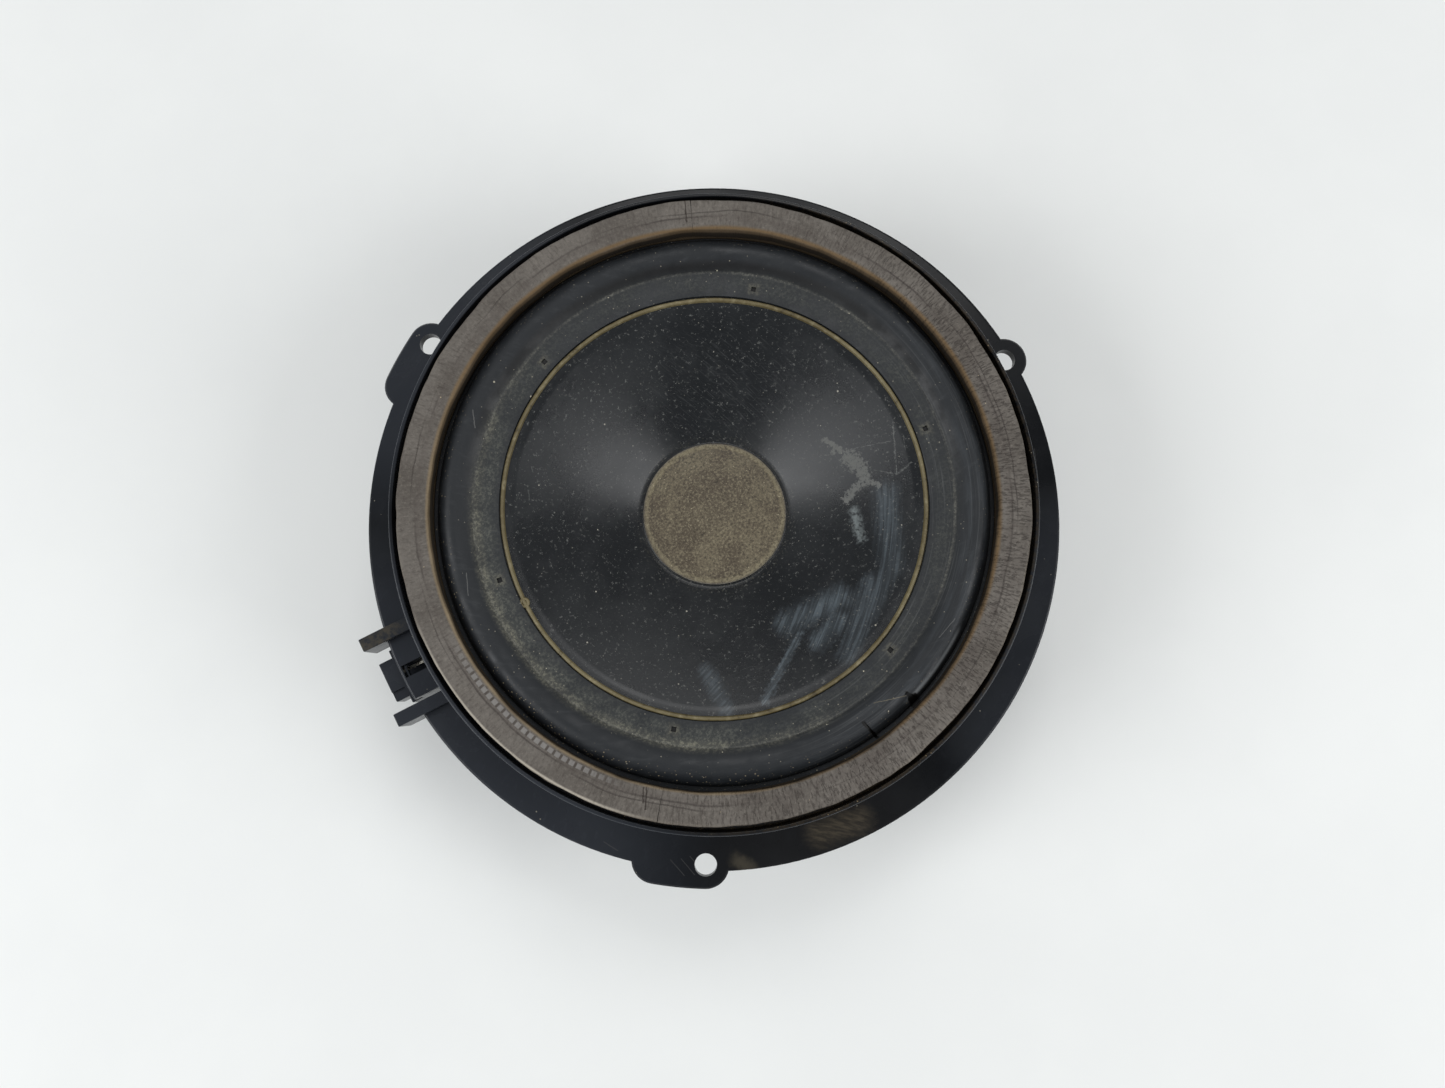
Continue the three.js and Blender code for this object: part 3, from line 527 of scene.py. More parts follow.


# %% [markdown]
# ## Rubber
# Rubber is dull, and holds powder where a finger can't wipe: by the roll's foot and on the land.
# Bands by radius place the dust, and a noise breaks them up so that none is an even ring.


# %% Surround rubber: dull black, with dust lying where the roll meets its inner land, painted sheen on the roll's right side, a painted highlight on a lifted flap and painted shade in its pits and splits
def surround_rubber():
    material, shader, where = surface("surround_rubber", 0.55, specular=0.34)
    lower = towards(where, -164, -0.2, 1.0)
    corner = ring_mark(where, 57.0, 2.1, 1.2)
    edge = ring_mark(where, 57.3, 0.55, 0.5)
    land = ring_mark(where, 54.6, 4.6, 1.0)
    powder = ramp(noise(where, 1500.0, 4.0, 0.75), 0.40, 0.68)
    cloud = ramp(noise(where, 110.0, 5.0, 0.65), 0.32, 0.66)
    mixed = times(ramp(cloud, 0.0, 1.0, 0.35, 1.0), ramp(powder, 0.0, 1.0, 0.25, 1.0))
    settled = times(corner, mixed, ramp(lower, 0.0, 1.0, 0.06, 0.95))
    film = times(land, mixed, ramp(lower, 0.0, 1.0, 0.28, 0.62))
    line = times(edge, mixed, 0.75)
    foot = ring_mark(where, 65.0, 3.0, 2.2)
    dots = grains(where, 0.72, 0.24, 0.6)
    crumbs = times(foot, dots)
    groove = times(ring_mark(where, 75.2, 1.6, 0.3), powder)
    sparse = grains(where, 1.15, 0.13, 0.55)
    rare = grains(where, 3.4, 0.065, 0.5)
    specks = most(times(sparse, 0.5), rare)
    shade = times(ring_mark(where, 58.7, 1.9, 0.8), towards(where, 64, -0.25, 0.75))
    wipes = strokes(where, Centre=(40.0, 130.0, 0.0), Fineness=0.7, Run=22.0, Low=0.50, High=0.78)
    # along is streaks round the ring; laid only on the right side, they also paint a pale sheen there.
    along = strokes(where, Centre=(0.0, 0.0, 0.0), Fineness=2.2, Run=1.6, Low=0.52, High=0.72)
    # sheen and slate paint a bluish sheen on the roll's right side, where the soft boxes light it.
    sheen = strokes(where, Centre=(0.0, 0.0, 0.0), Fineness=0.4, Run=2.6, Low=0.42, High=0.62)
    right = towards(where, -42, 0.25, 0.95)
    slate_sheen = times(sheen, right, ramp(ring_mark(where, 62.5, 5.0), 0.0, 0.6))
    # Painted shade: the two splits are drawn near black, as the shade inside the cuts.
    split_shade = scratches(
        where, 0.6, 0.3, ((17.6, -60.5), (18.5, -62.4), 0.5), ((18.5, -62.3), (19.0, -64.2), 1.5),
        ((5.4, -61.6), (6.9, -66.2), 0.42),
    )
    crease = scratches(
        where, 0.7, 0.5, ((18.0, -61.2), (14.0, -60.1), 0.13), ((14.0, -60.1), (9.8, -58.9), 0.11),
    )
    # Painted highlight on the lifted edge of the flap beside the wide split.
    flap_highlight = times(ring_mark(where, 64.5, 0.75, 0.4), towards(where, -65.5, 0.982, 0.994))
    lone = scratches(
        where, 0.5, 0.5, ((-61.0, 8.0), (-59.0, 13.0), 0.12), ((30.6, -53.0), (36.0, -51.0), 0.10),
        ((-40.0, 47.0), (-41.5, 43.0), 0.14),
    )
    x, y, _ = parts_of(in_mm(where))
    turn = plus(maths("DIVIDE", maths("ARCTAN2", y, x), pi / 3), PIT_TURN / 60 + 3)
    beside = times(minus(maths("FRACT", plus(turn, 0.5)), 0.5), PIT_R * pi / 3)
    away = vector_maths("LENGTH", flat_of(in_mm(where)))
    nearest = most(maths("ABSOLUTE", beside), maths("ABSOLUTE", minus(away, PIT_R)))
    # Painted shade: the inside of the six pits is darkened.
    pit_shade = ramp(nearest, 0.62, 0.52)
    lip = times(ramp(nearest, 1.9, 0.65), ramp(powder, 0.0, 1.0, 0.3, 1.0))
    colour = lay(
        blend_colour(noise(where, 70.0, 3.0), (0.0085, 0.0100, 0.0120), (0.0150, 0.0172, 0.0200)),
        (times(wipes, 0.13), GREY_FILM), (times(slate_sheen, 0.22), (0.075, 0.085, 0.095)),
        (times(along, right, 0.34), (0.13, 0.135, 0.135)), (film, (0.115, 0.118, 0.098)),
        (settled, (0.165, 0.158, 0.120)), (line, (0.14, 0.138, 0.118)),
        (times(shade, 0.85), (0.0016, 0.0016, 0.0020)), (times(groove, 0.8), (0.065, 0.047, 0.027)),
        (times(crumbs, ramp(lower, 0.0, 1.0, 0.3, 1.0)), (0.27, 0.22, 0.145)),
        (times(lone, 0.35), (0.2, 0.2, 0.19)), (times(lip, 0.5), (0.14, 0.13, 0.095)),
        (specks, (0.31, 0.285, 0.22)), (pit_shade, (0.003, 0.003, 0.003)),
        (times(crease, 0.6), (0.15, 0.13, 0.09)), (flap_highlight, (0.135, 0.142, 0.146)),
        (split_shade, (0.0010, 0.0010, 0.0010)),
    )
    dress(shader, colour, noise(where, 1500.0, 4.0, 0.7), 0.35, 0.05, rough=ramp(cloud, 0.0, 1.0, 0.44, 0.62))
    return material


# %% [markdown]
# ## Cone plastic
# A pressed plastic cone is smooth and dark, so wiping marks and scuffs are all that the eye finds.
# They are laid as long ragged strokes, each with a place of its own, over one quiet base.


# %% Cone polymer: satin black with wiping arcs, one grey scuff and bluish smears
def cone_polymer():
    material, shader, where = surface("cone_polymer", 0.3, specular=0.33)
    wiped = strokes(where, Centre=(-120.0, -30.0, 0.0), Fineness=3.2, Run=22.0, Low=0.52, High=0.74)
    crossed = strokes(where, Centre=(110.0, 150.0, 0.0), Fineness=2.6, Run=24.0, Low=0.55, High=0.78)
    upper = spot(where, Centre=(17.0, 27.0, 58.0), Long=30.0, Broad=20.0, Turn=0.5, Ragged=8.0, Soft=1.0)
    worn = ramp(noise(where, 1500.0, 5.0, 0.75), 0.30, 0.52)
    flake = scratches(
        where, 3.5, 1.0, ((32.4, 2.4), (34.2, -2.0), 1.25), ((35.0, -4.6), (35.6, -6.6), 3.3),
        ((36.2, -8.0), (35.6, -11.4), 2.5), ((34.2, -11.6), (29.6, -13.4), 1.9),
        ((33.2, 0.4), (32.6, -1.6), 0.9), ((36.6, -13.0), (37.6, -14.4), 0.9),
    )
    grit = noise(where, 1100.0, 6.0, 0.8)
    scuff = ramp(plus(flake, times(minus(grit, 0.5), 4.2)), 0.34, 0.62)
    scuff = times(scuff, ramp(worn, 0.0, 1.0, 0.35, 1.0))
    thin = scratches(
        where, 1.3, 0.9, ((36.0, -3.0), (45.3, -6.6), 0.14), ((47.5, -2.9), (42.3, -14.4), 0.22),
        ((38.5, -10.5), (42.3, -14.2), 0.16), ((42.3, -14.4), (46.4, -13.6), 0.32),
        ((48.0, -7.0), (46.8, -10.0), 0.14), ((-37.6, 24.6), (-38.6, 22.4), 0.2),
    )
    feather = scratch(where, From=(29.6, -17.0, 0.0), To=(27.6, -23.6, 0.0), Width=2.0, Ragged=3.6, Soft=1.0)
    feather = times(feather, ramp(noise(where, 700.0, 4.0, 0.7), 0.35, 0.6))
    silky = strokes(where, Centre=(-42.0, 26.0, 0.0), Fineness=1.7, Run=5.0, Low=0.36, High=0.66)
    smears = scratches(
        where, 4.0, 1.0, ((2.0, -33.0), (16.0, -33.5), 4.6), ((6.0, -40.5), (13.0, -38.0), 3.6),
        ((-12.0, -46.5), (3.5, -36.5), 1.5),
    )
    hazes = scratches(
        where, 4.0, 1.0, ((-20.6, -34.0), (-20.8, -44.0), 3.0), ((10.0, -46.5), (24.0, -34.0), 3.4),
    )
    band = scratches(
        where, 3.0, 1.0, ((38.0, -17.0), (30.0, -33.0), 4.6), ((30.0, -33.0), (12.0, -45.0), 3.6),
    )
    smears = maths("ADD", times(smears, 0.85), times(most(hazes, band), 0.6), clamp=True)
    smears = times(smears, ramp(silky, 0.0, 1.0, 0.3, 1.0))
    many = grains(where, 1.35, 0.11, 0.5)
    rare = grains(where, 3.6, 0.062, 0.45)
    specks = most(times(many, 0.42), rare)
    dusting = ramp(noise(where, 2200.0, 4.0, 0.75), 0.52, 0.72)
    cloud = ramp(noise(where, 45.0, 5.0, 0.65), 0.36, 0.66)
    near_cap = times(ring_mark(where, 18.4, 3.2, 2.0), dusting)
    colour = lay(
        blend_colour(cloud, (0.0062, 0.0074, 0.0088), (0.0115, 0.0130, 0.0146)),
        (times(dusting, cloud, 0.16), (0.09, 0.09, 0.08)),
        (times(near_cap, 0.5), (0.12, 0.11, 0.08)),
        (times(wiped, upper, 0.55), (0.085, 0.088, 0.088)),
        (times(crossed, upper, 0.34), (0.075, 0.077, 0.078)),
        (times(crossed, 0.07), GREY_FILM),
        (times(smears, 0.9), (0.104, 0.126, 0.142)),
        (times(thin, ramp(grit, 0.35, 0.6), 0.5), (0.17, 0.175, 0.165)),
        (times(scuff, 0.74), (0.150, 0.152, 0.142)), (times(feather, 0.7), (0.20, 0.225, 0.225)),
        (specks, (0.30, 0.285, 0.24)),
    )
    rough = maths("ADD", ramp(cloud, 0.0, 1.0, 0.26, 0.34), times(scuff, 0.35), clamp=True)
    height = plus(noise(where, 1100.0, 4.0), times(plus(wiped, crossed), 0.35))
    dress(shader, colour, height, 0.2, 0.05, rough=rough)
    return material


# %% [markdown]
# ## Cap cloth
# The cap is doped cloth. Its threads could be modelled, but at half a millimetre a weave is
# better drawn as two crossed sine waves, with dust in between and a pale pressed rim.


# %% Cap cloth: a fine square weave, uneven with dust, pale at its pressed rim
def cap_cloth():
    material, shader, where = surface(
        "cap_cloth", 0.95, specular=0.12, Sheen_Weight=0.25, Sheen_Roughness=0.6,
    )
    x, y, _ = parts_of(in_mm(where))
    weave = times(maths("SINE", times(x, 15.5)), maths("SINE", times(y, 15.5)))
    fuzz = noise(where, 1700.0, 4.0, 0.8)
    cloud = noise(where, 95.0, 5.0, 0.65)
    middle = ring_mark(where, 0.0, 15.5, 5.0)
    rim = ring_mark(where, 17.1, 1.0, 0.35)
    valley = ring_mark(where, 15.9, 0.9, 0.6)
    stain = spot(where, Centre=(-9.0, -1.0, 55.0), Long=9.0, Broad=5.5, Turn=0.8, Ragged=7.0, Soft=1.0)
    colour = lay(
        blend_colour(ramp(cloud, 0.34, 0.66), (0.082, 0.063, 0.041), (0.150, 0.125, 0.080)),
        (times(middle, 0.35), (0.070, 0.058, 0.043)), (times(stain, 0.45), (0.052, 0.038, 0.026)),
        (times(valley, 0.25), (0.06, 0.046, 0.03)), (times(rim, 0.55), (0.235, 0.205, 0.13)),
        (ramp(fuzz, 0.50, 0.66, 0.0, 0.8), (0.27, 0.235, 0.155)),
        (ramp(fuzz, 0.49, 0.36, 0.0, 0.8), (0.028, 0.022, 0.016)),
        (ramp(weave, 0.1, -0.8, 0.0, 0.3), (0.045, 0.036, 0.026)),
        (grains(where, 0.8, 0.17, 0.3), (0.40, 0.35, 0.24)),
    )
    dress(shader, colour, plus(weave, times(fuzz, 3.0)), 0.6, 0.08)
    return material


# %% [markdown]
# ## Glue, board, metal and cloth
# The rest are quiet finishes. One or two noises mix each base colour and move its roughness: this
# is enough for lumps in glue, fibres in board, spangle on zinc, grinding on ferrite and a weave.


# %% Two glues: an amber bead by the cone's edge, black fillets elsewhere
def amber_glue():
    material, shader, where = surface("amber_glue", 0.5, specular=0.4)
    lumps = noise(where, 480.0, 4.0, 0.6)
    stretch = noise(where, 35.0, 3.0)
    colour = lay(
        blend_colour(ramp(stretch, 0.35, 0.65), (0.100, 0.078, 0.034), (0.160, 0.133, 0.068)),
        (ramp(lumps, 0.5, 0.72, 0.0, 0.6), (0.26, 0.225, 0.135)),
        (ramp(lumps, 0.45, 0.3, 0.0, 0.8), (0.040, 0.030, 0.013)),
    )
    dress(shader, colour, lumps, 0.6, 0.1)
    return material


def black_glue():
    material, shader, where = surface("black_glue", 0.34, specular=0.36)
    lumps = noise(where, 500.0, 3.0)
    dress(
        shader, blend_colour(lumps, (0.006, 0.006, 0.006), (0.016, 0.015, 0.014)), lumps, 0.4, 0.12,
        rough=ramp(lumps, 0.3, 0.7, 0.24, 0.45),
    )
    return material


# %% Pressed board under the foam
def gasket_card():
    material, shader, where = surface("gasket_card", 0.9, specular=0.15)
    fibres = noise(where, 900.0, 6.0, 0.75)
    colour = lay(
        blend_colour(noise(where, 90.0, 3.0), (0.024, 0.017, 0.010), (0.045, 0.032, 0.018)),
        (ramp(fibres, 0.5, 0.75, 0.0, 0.5), (0.085, 0.062, 0.034)),
    )
    dress(shader, colour, fibres, 0.5, 0.08)
    return material


# %% Zinc plate, ferrite, tin and solder
def zinc_plate():
    material, shader, where = surface("zinc_plate", 0.34, metallic=1.0)
    tree = shader.id_data
    spangle = add(tree, "ShaderNodeTexVoronoi", {"Vector": where, "Scale": 260.0}).outputs["Color"]
    tone = add(tree, "ShaderNodeSeparateColor", {0: spangle}).outputs[0]
    bloom = ramp(noise(where, 55.0, 5.0, 0.65), 0.5, 0.75)
    turning = ring_mark(where, 30.0, 9.0, 2.0)
    colour = lay(
        blend_colour(tone, (0.40, 0.40, 0.385), (0.52, 0.52, 0.50)),
        (times(bloom, 0.45), (0.27, 0.265, 0.25)),
    )
    rough = plus(ramp(bloom, 0.0, 1.0, 0.30, 0.55), times(turning, 0.05))
    dress(shader, colour, noise(where, 1400.0, 3.0), 0.12, 0.03, rough=rough)
    return material


def sintered_ferrite():
    material, shader, where = surface("sintered_ferrite", 0.62, specular=0.45)
    grit = noise(where, 1700.0, 5.0, 0.7)
    tree = shader.id_data
    grinding = add(
        tree, "ShaderNodeMapping",
        {"Vector": where, "Scale": (40.0, 2600.0, 40.0), "Rotation": (0.0, 0.0, 0.4)},
    )
    marks = noise(grinding.outputs[0], 1.0, 2.0)
    upright = parts_of(add(tree, "ShaderNodeNewGeometry").outputs["Normal"])[2]
    face = ramp(maths("ABSOLUTE", upright), 0.8, 0.95)
    chips = ramp(noise(where, 240.0, 5.0, 0.7), 0.63, 0.68)
    colour = lay(
        blend_colour(grit, (0.022, 0.022, 0.024), (0.050, 0.050, 0.053)),
        (times(marks, face, 0.35), (0.085, 0.085, 0.09)),
        (times(chips, 0.5), (0.075, 0.073, 0.072)),
    )
    height = minus(times(grit, 0.5), times(chips, 1.2))
    dress(shader, colour, height, 0.5, 0.12)
    return material


def tinned_metal(name, roughness, light, dark):
    material, shader, where = surface(name, roughness, metallic=1.0)
    patches = noise(where, 700.0, 4.0, 0.6)
    dress(
        shader, blend_colour(ramp(patches, 0.35, 0.65), dark, light), patches, 0.2, 0.04,
        rough=ramp(patches, 0.3, 0.7, roughness - 0.08, roughness + 0.15),
    )
    return material


# %% Former paper, copper wire, spider cloth and tinsel
def kraft_paper():
    material, shader, where = surface("kraft_paper", 0.5, specular=0.4)
    stretched = add(shader.id_data, "ShaderNodeMapping", {"Vector": where, "Scale": (400.0, 400.0, 2600.0)})
    fibres = noise(stretched.outputs[0], 1.0, 4.0)
    dress(shader, blend_colour(fibres, (0.20, 0.115, 0.045), (0.36, 0.235, 0.11)), fibres, 0.25, 0.04)
    return material


def copper_wire():
    material, shader, where = surface("copper_wire", 0.3, metallic=1.0, Coat_Roughness=0.15)
    tone = noise(where, 300.0, 3.0)
    dress(
        shader, blend_colour(tone, (0.50, 0.20, 0.085), (0.70, 0.32, 0.15)), noise(where, 2500.0, 2.0), 0.1,
        0.02, coat=ramp(tone, 0.3, 0.7, 0.5, 1.0),
    )
    return material


def spider_weave():
    material, shader, where = surface("spider_weave", 0.85, specular=0.2)
    x, y, _ = parts_of(in_mm(where))
    threads = most(*(maths("ABSOLUTE", maths("SINE", times(axis, 9.0))) for axis in (x, y)))
    varnish = noise(where, 120.0, 4.0)
    colour = lay(
        blend_colour(varnish, (0.30, 0.175, 0.055), (0.47, 0.31, 0.125)),
        (ramp(threads, 0.75, 0.45, 0.0, 0.7), (0.10, 0.055, 0.018)),
        (ramp(noise(where, 1500.0, 3.0), 0.55, 0.8, 0.0, 0.35), (0.58, 0.43, 0.22)),
    )
    dress(shader, colour, threads, 0.6, 0.12, rough=ramp(varnish, 0.3, 0.7, 0.7, 0.92))
    return material


def tinsel_copper():
    material, shader, where = surface("tinsel_copper", 0.42, metallic=0.85)
    glint = noise(where, 2600.0, 3.0, 0.7)
    dress(
        shader, blend_colour(ramp(glint, 0.3, 0.7), (0.24, 0.105, 0.045), (0.62, 0.34, 0.17)), glint, 0.4,
        0.05, rough=ramp(glint, 0.3, 0.7, 0.55, 0.32),
    )
    return material


# %% Make each finish once
BASKET, FOAM, RUBBER, CONE = basket_plastic(), gasket_foam(), surround_rubber(), cone_polymer()
CLOTH, AMBER, BLACK, CARD = cap_cloth(), amber_glue(), black_glue(), gasket_card()
ZINC, FERRITE = zinc_plate(), sintered_ferrite()
TIN = tinned_metal("tinned_blade", 0.28, (0.74, 0.71, 0.62), (0.58, 0.54, 0.44))
SOLDER = tinned_metal("dull_solder", 0.42, (0.62, 0.62, 0.61), (0.42, 0.42, 0.41))
PAPER, COPPER, WEAVE, TINSEL = kraft_paper(), copper_wire(), spider_weave(), tinsel_copper()
print("finishes so far:", len(bpy.data.materials))

# %% [markdown]
# ## Turning, filleting and joining
# Most of a speaker is turned: one outline swept round the axis. Real edges are never sharp, so an
# outline's corners are rounded first, and the small fillets are what catches the light.


# %% Round the corners of an outline
def rounded(corners, steps=4):
    """corners lists (a, b, fillet). Returns the outline with each fillet drawn as a short curve."""
    points = []
    count = len(corners)
    for i, (a, b, fillet) in enumerate(corners):
        here = Vector((a, b))
        if not fillet:
            points.append(here)
            continue
        before = Vector(corners[i - 1][:2]) - here
        after = Vector(corners[(i + 1) % count][:2]) - here
        reach = min(fillet, before.length * 0.45, after.length * 0.45)
        start, end = here + before.normalized() * reach, here + after.normalized() * reach
        for k in range(steps + 1):
            t = k / steps
            points.append(start * (1 - t) ** 2 + here * (2 * t * (1 - t)) + end * t * t)
    return points


# %% Objects from vertices, with sharp edges kept crisp
def to_object(name, verts, faces, material, sharp=35):
    mesh = bpy.data.meshes.new(name)
    mesh.from_pydata([Vector(v) * MM for v in verts], [], faces)
    return finish_mesh(name, mesh, material, sharp)


def give_finish(mesh, material, sharp):
    """One material for the whole mesh, smooth but for edges sharper than an angle."""
    mesh.materials.clear()
    mesh.materials.append(material)
    mesh.polygons.foreach_set("use_smooth", [True] * len(mesh.polygons))
    mesh.polygons.foreach_set("material_index", [0] * len(mesh.polygons))
    mesh.set_sharp_from_angle(angle=radians(sharp))


def finish_mesh(name, mesh, material, sharp=35):
    """Merges a mesh's doubles, turns its faces outwards and makes it an object."""
    work = bmesh.new()
    work.from_mesh(mesh)
    bmesh.ops.remove_doubles(work, verts=work.verts, dist=1e-7)
    bmesh.ops.recalc_face_normals(work, faces=work.faces)
    work.to_mesh(mesh)
    work.free()
    give_finish(mesh, material, sharp)
    piece = bpy.data.objects.new(name, mesh)
    scene.collection.objects.link(piece)
    return piece


# %% Turn an outline about the axis
def spin(name, outline, material, steps=180, sharp=35, wobble=None):
    """outline lists (radius, height) and closes on itself. wobble(angle) shifts its radius."""
    verts, faces = [], []
    count = len(outline)
    for k in range(steps):
        angle = 2 * pi * k / steps
        shift = wobble(angle) if wobble else (0, 0)
        for r, z in outline:
            r = r + shift[0] if r else 0
            verts.append((r * cos(angle), r * sin(angle), z + shift[1]))
    for k in range(steps):
        for i in range(count):
            j, m = (i + 1) % count, (k + 1) % steps
            corners = [k * count + i, m * count + i, m * count + j, k * count + j]
            if outline[i][0] == 0 and outline[j][0] == 0:
                continue
            if outline[i][0] == 0:
                corners.pop(1)
            elif outline[j][0] == 0:
                corners.pop(2)
            faces.append(corners)
    return to_object(name, verts, faces, material, sharp)


# %% A prism from a flat outline, and a box with softened edges
def prism(name, outline, low, high, material, soft=0.0):
    """A plate with the outline [(x, y)], from low to high, its two rims drawn in by soft."""
    points = [Vector(p) for p in outline]
    count = len(points)
    levels = [(low, soft), (low + soft, 0), (high - soft, 0), (high, soft)] if soft else [(low, 0), (high, 0)]
    verts, faces = [], []
    for z, inset in levels:
        for i, p in enumerate(points):
            along = (points[(i + 1) % count] - points[i - 1]).normalized()
            inward = Vector((-along.y, along.x))
            verts.append((*(p + inward * inset), z))
    for level in range(len(levels) - 1):
        for i in range(count):
            j = (i + 1) % count
            a, b = level * count, (level + 1) * count
            faces.append((a + i, a + j, b + j, b + i))
    faces.append(tuple(reversed(range(count))))
    faces.append(tuple(range((len(levels) - 1) * count, len(levels) * count)))
    return to_object(name, verts, faces, material)


def brick(name, u, v, z, material, soft=0.3, turn=0.0):
    work = bmesh.new()
    bmesh.ops.create_cube(work, size=1)
    size = Vector((u[1] - u[0], v[1] - v[0], z[1] - z[0]))
    middle = Vector((u[1] + u[0], v[1] + v[0], z[1] + z[0])) / 2
    for vert in work.verts:
        vert.co = Vector([vert.co[i] * size[i] for i in range(3)]) + middle
    if soft:
        bmesh.ops.bevel(work, geom=work.edges[:], offset=soft, segments=2, profile=0.6, affect="EDGES")
    bmesh.ops.transform(work, matrix=Matrix.Rotation(turn, 4, "Z"), verts=work.verts)
    bmesh.ops.scale(work, vec=(MM, MM, MM), verts=work.verts)
    mesh = bpy.data.meshes.new(name)
    work.to_mesh(mesh)
    work.free()
    return finish_mesh(name, mesh, material)


# %% Take a finished mesh off its modifiers, and join or cut closed shapes
def plain_mesh(piece):
    """The mesh that a piece and its modifiers come to."""
    graph = bpy.context.evaluated_depsgraph_get()
    return bpy.data.meshes.new_from_object(piece.evaluated_get(graph), depsgraph=graph)


def settle(piece):
    """Replaces a piece's mesh by its evaluated one and clears its modifiers."""
    mesh = plain_mesh(piece)
    piece.modifiers.clear()
    piece.data = mesh
    return piece


def combine(piece, operation, others):
    for other in others:
        step = piece.modifiers.new(operation.lower(), "BOOLEAN")
        step.operation, step.solver, step.object = operation, "MANIFOLD", other
    settle(piece)
    for other in others:
        bpy.data.objects.remove(other)
    return piece


def crisp(piece, material, sharp=35):
    """Marks sharp edges after a join and evens the normals of big flat faces."""
    give_finish(piece.data, material, sharp)
    even = piece.modifiers.new("even", "WEIGHTED_NORMAL")
    even.keep_sharp = True
    return settle(piece)


# %% Every piece takes a body and the nodes it stands for
made = []


def fit(piece, body, slot, *nodes):
    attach(piece, body)
    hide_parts(*nodes)
    made.append(piece)
    print(piece.name, "on", body, "faces", len(piece.data.polygons))
    return piece


# %% [markdown]
# ## Basket
# The real basket is one glass-filled moulding. Its turned outline carries nearly everything: the
# skirt that grips the motor, floor, spider ledge, bowl, flange, tall collar and gasket seat. Arms
# come from cutting six windows, then the ears, webs and plug socket are joined on. Closed meshes
# with the Manifold solver join in a moment and stay watertight.

# %% Turned shell of the basket
SKIRT_IN, SKIRT_OUT, SKIRT_GRIP = 37.8, 40.3, 4.9
FLOOR_IN, LEDGE_IN, LEDGE_OUT, BOWL_STEP = 22.0, 40.0, 46.0, 5.25
SEAT_IN, SEAT_THICK, COLLAR_IN = 66.6, 2, 76.22
slope = (bowl_low - (ledge_top - BOWL_STEP)) / (BOWL_R - SKIRT_IN)


def bowl_under(radius):
    return ledge_top - BOWL_STEP + slope * (radius - SKIRT_IN)


shell_outline = rounded([
    (SKIRT_IN, plate_top - SKIRT_GRIP, 0.4), (SKIRT_OUT, plate_top - SKIRT_GRIP, 0.5),
    (SKIRT_OUT, bowl_under(SKIRT_OUT), 0.6), (BOWL_R, bowl_low, 1.2),
    (BOWL_R, flange_low, 0.5), (FLANGE_R, flange_low, 0.5), (FLANGE_R, flange_top, 0.7),
    (COLLAR_R, flange_top, 0.7), (RIM_R, rim_top, 0.35), (RIM_IN, rim_top, 0.35),
    (RIM_IN, seat_top, 0.3), (SEAT_IN, seat_top, 0.3), (SEAT_IN, seat_top - SEAT_THICK, 0.3),
    (74.7, seat_top - SEAT_THICK, 0.8), (COLLAR_IN, flange_top, 0.4), (BOWL_R - WALL, flange_top, 0.4),
    (BOWL_R - WALL, bowl_under(BOWL_R - WALL) + WALL, 0.8), (LEDGE_OUT, bowl_under(LEDGE_OUT) + WALL, 0.3),
    (LEDGE_OUT, ledge_top, 0.4), (LEDGE_IN, ledge_top, 0.4), (LEDGE_IN, bowl_under(LEDGE_IN) + WALL, 0.3),
    (SKIRT_IN, bowl_under(SKIRT_IN) + WALL, 0.4), (SKIRT_IN, floor_top, 0.4),
    (FLOOR_IN, floor_top, 0.4), (FLOOR_IN, floor_low, 0.3), (SKIRT_IN, floor_low, 0.0),
])
basket = spin("basket_moulding", shell_outline, BASKET, steps=192)
print("shell outline points:", len(shell_outline))


# %% Ears, webs and windows as closed shapes
def arc(centre, radius, start, stop, steps):
    turns = [start + (stop - start) * k / steps for k in range(steps + 1)]
    return [(centre[0] + radius * cos(a), centre[1] + radius * sin(a)) for a in turns]


def ear_outline(pitch, start, stop, lobe=5.8):
    tip = (pitch * cos(stop), pitch * sin(stop))
    root = (pitch * cos(start), pitch * sin(start))
    outline = arc((0, 0), pitch + lobe, start, stop, 8)[:-1] if stop > start else []
    outline += arc(tip, lobe, stop, stop + pi, 20)
    if stop > start:
        outline += arc((0, 0), pitch - lobe, stop, start, 8)[1:-1]
    return outline + arc(root, lobe, start + pi, start + 2 * pi, 20)[: -1 if stop > start else -1]


def window_outline(middle, inner=48.2, outer=70.8, arm=10.0):
    def reach(radius):
        return pi / 6 - asin(arm / 2 / radius)

    far = arc((0, 0), outer, middle - reach(outer), middle + reach(outer), 24)
    near = arc((0, 0), inner, middle + reach(inner), middle - reach(inner), 16)
    corners = [(x, y, 2.0 if i in (0, 24, 25, 41) else 0) for i, (x, y) in enumerate(far + near)]
    return rounded(corners, 5)


SWEEP, THIRD = radians(8.3), radians(120)
ears = [(85.7, 0, 0, 0), (86.4, THIRD, THIRD, THIRD + SWEEP), (86.4, -THIRD, -THIRD - SWEEP, -THIRD)]
raised = [
    prism(f"ear_{i}", ear_outline(pitch, start, stop), flange_low, flange_top, BASKET, soft=0.45)
    for i, (pitch, _, start, stop) in enumerate(ears)
]
web_outline = [(39.8, floor_low), (75.0, bowl_low + 0.5), (75.0, bowl_low + 1.25), (39.8, ledge_top - 4)]
for i in range(6):
    web = prism(f"web_{i}", web_outline, -1.2, 1.2, BASKET, soft=0.2)
    web.data.transform(Matrix.Rotation(i * pi / 3, 4, "Z") @ Matrix.Rotation(pi / 2, 4, "X"))
    raised.append(web)
windows = [
    prism(f"window_{i}", window_outline(pi / 6 + i * pi / 3), floor_low - 2.5, flange_low, BASKET)
    for i in range(6)
]
print("raised shapes:", len(raised), "windows:", len(windows))

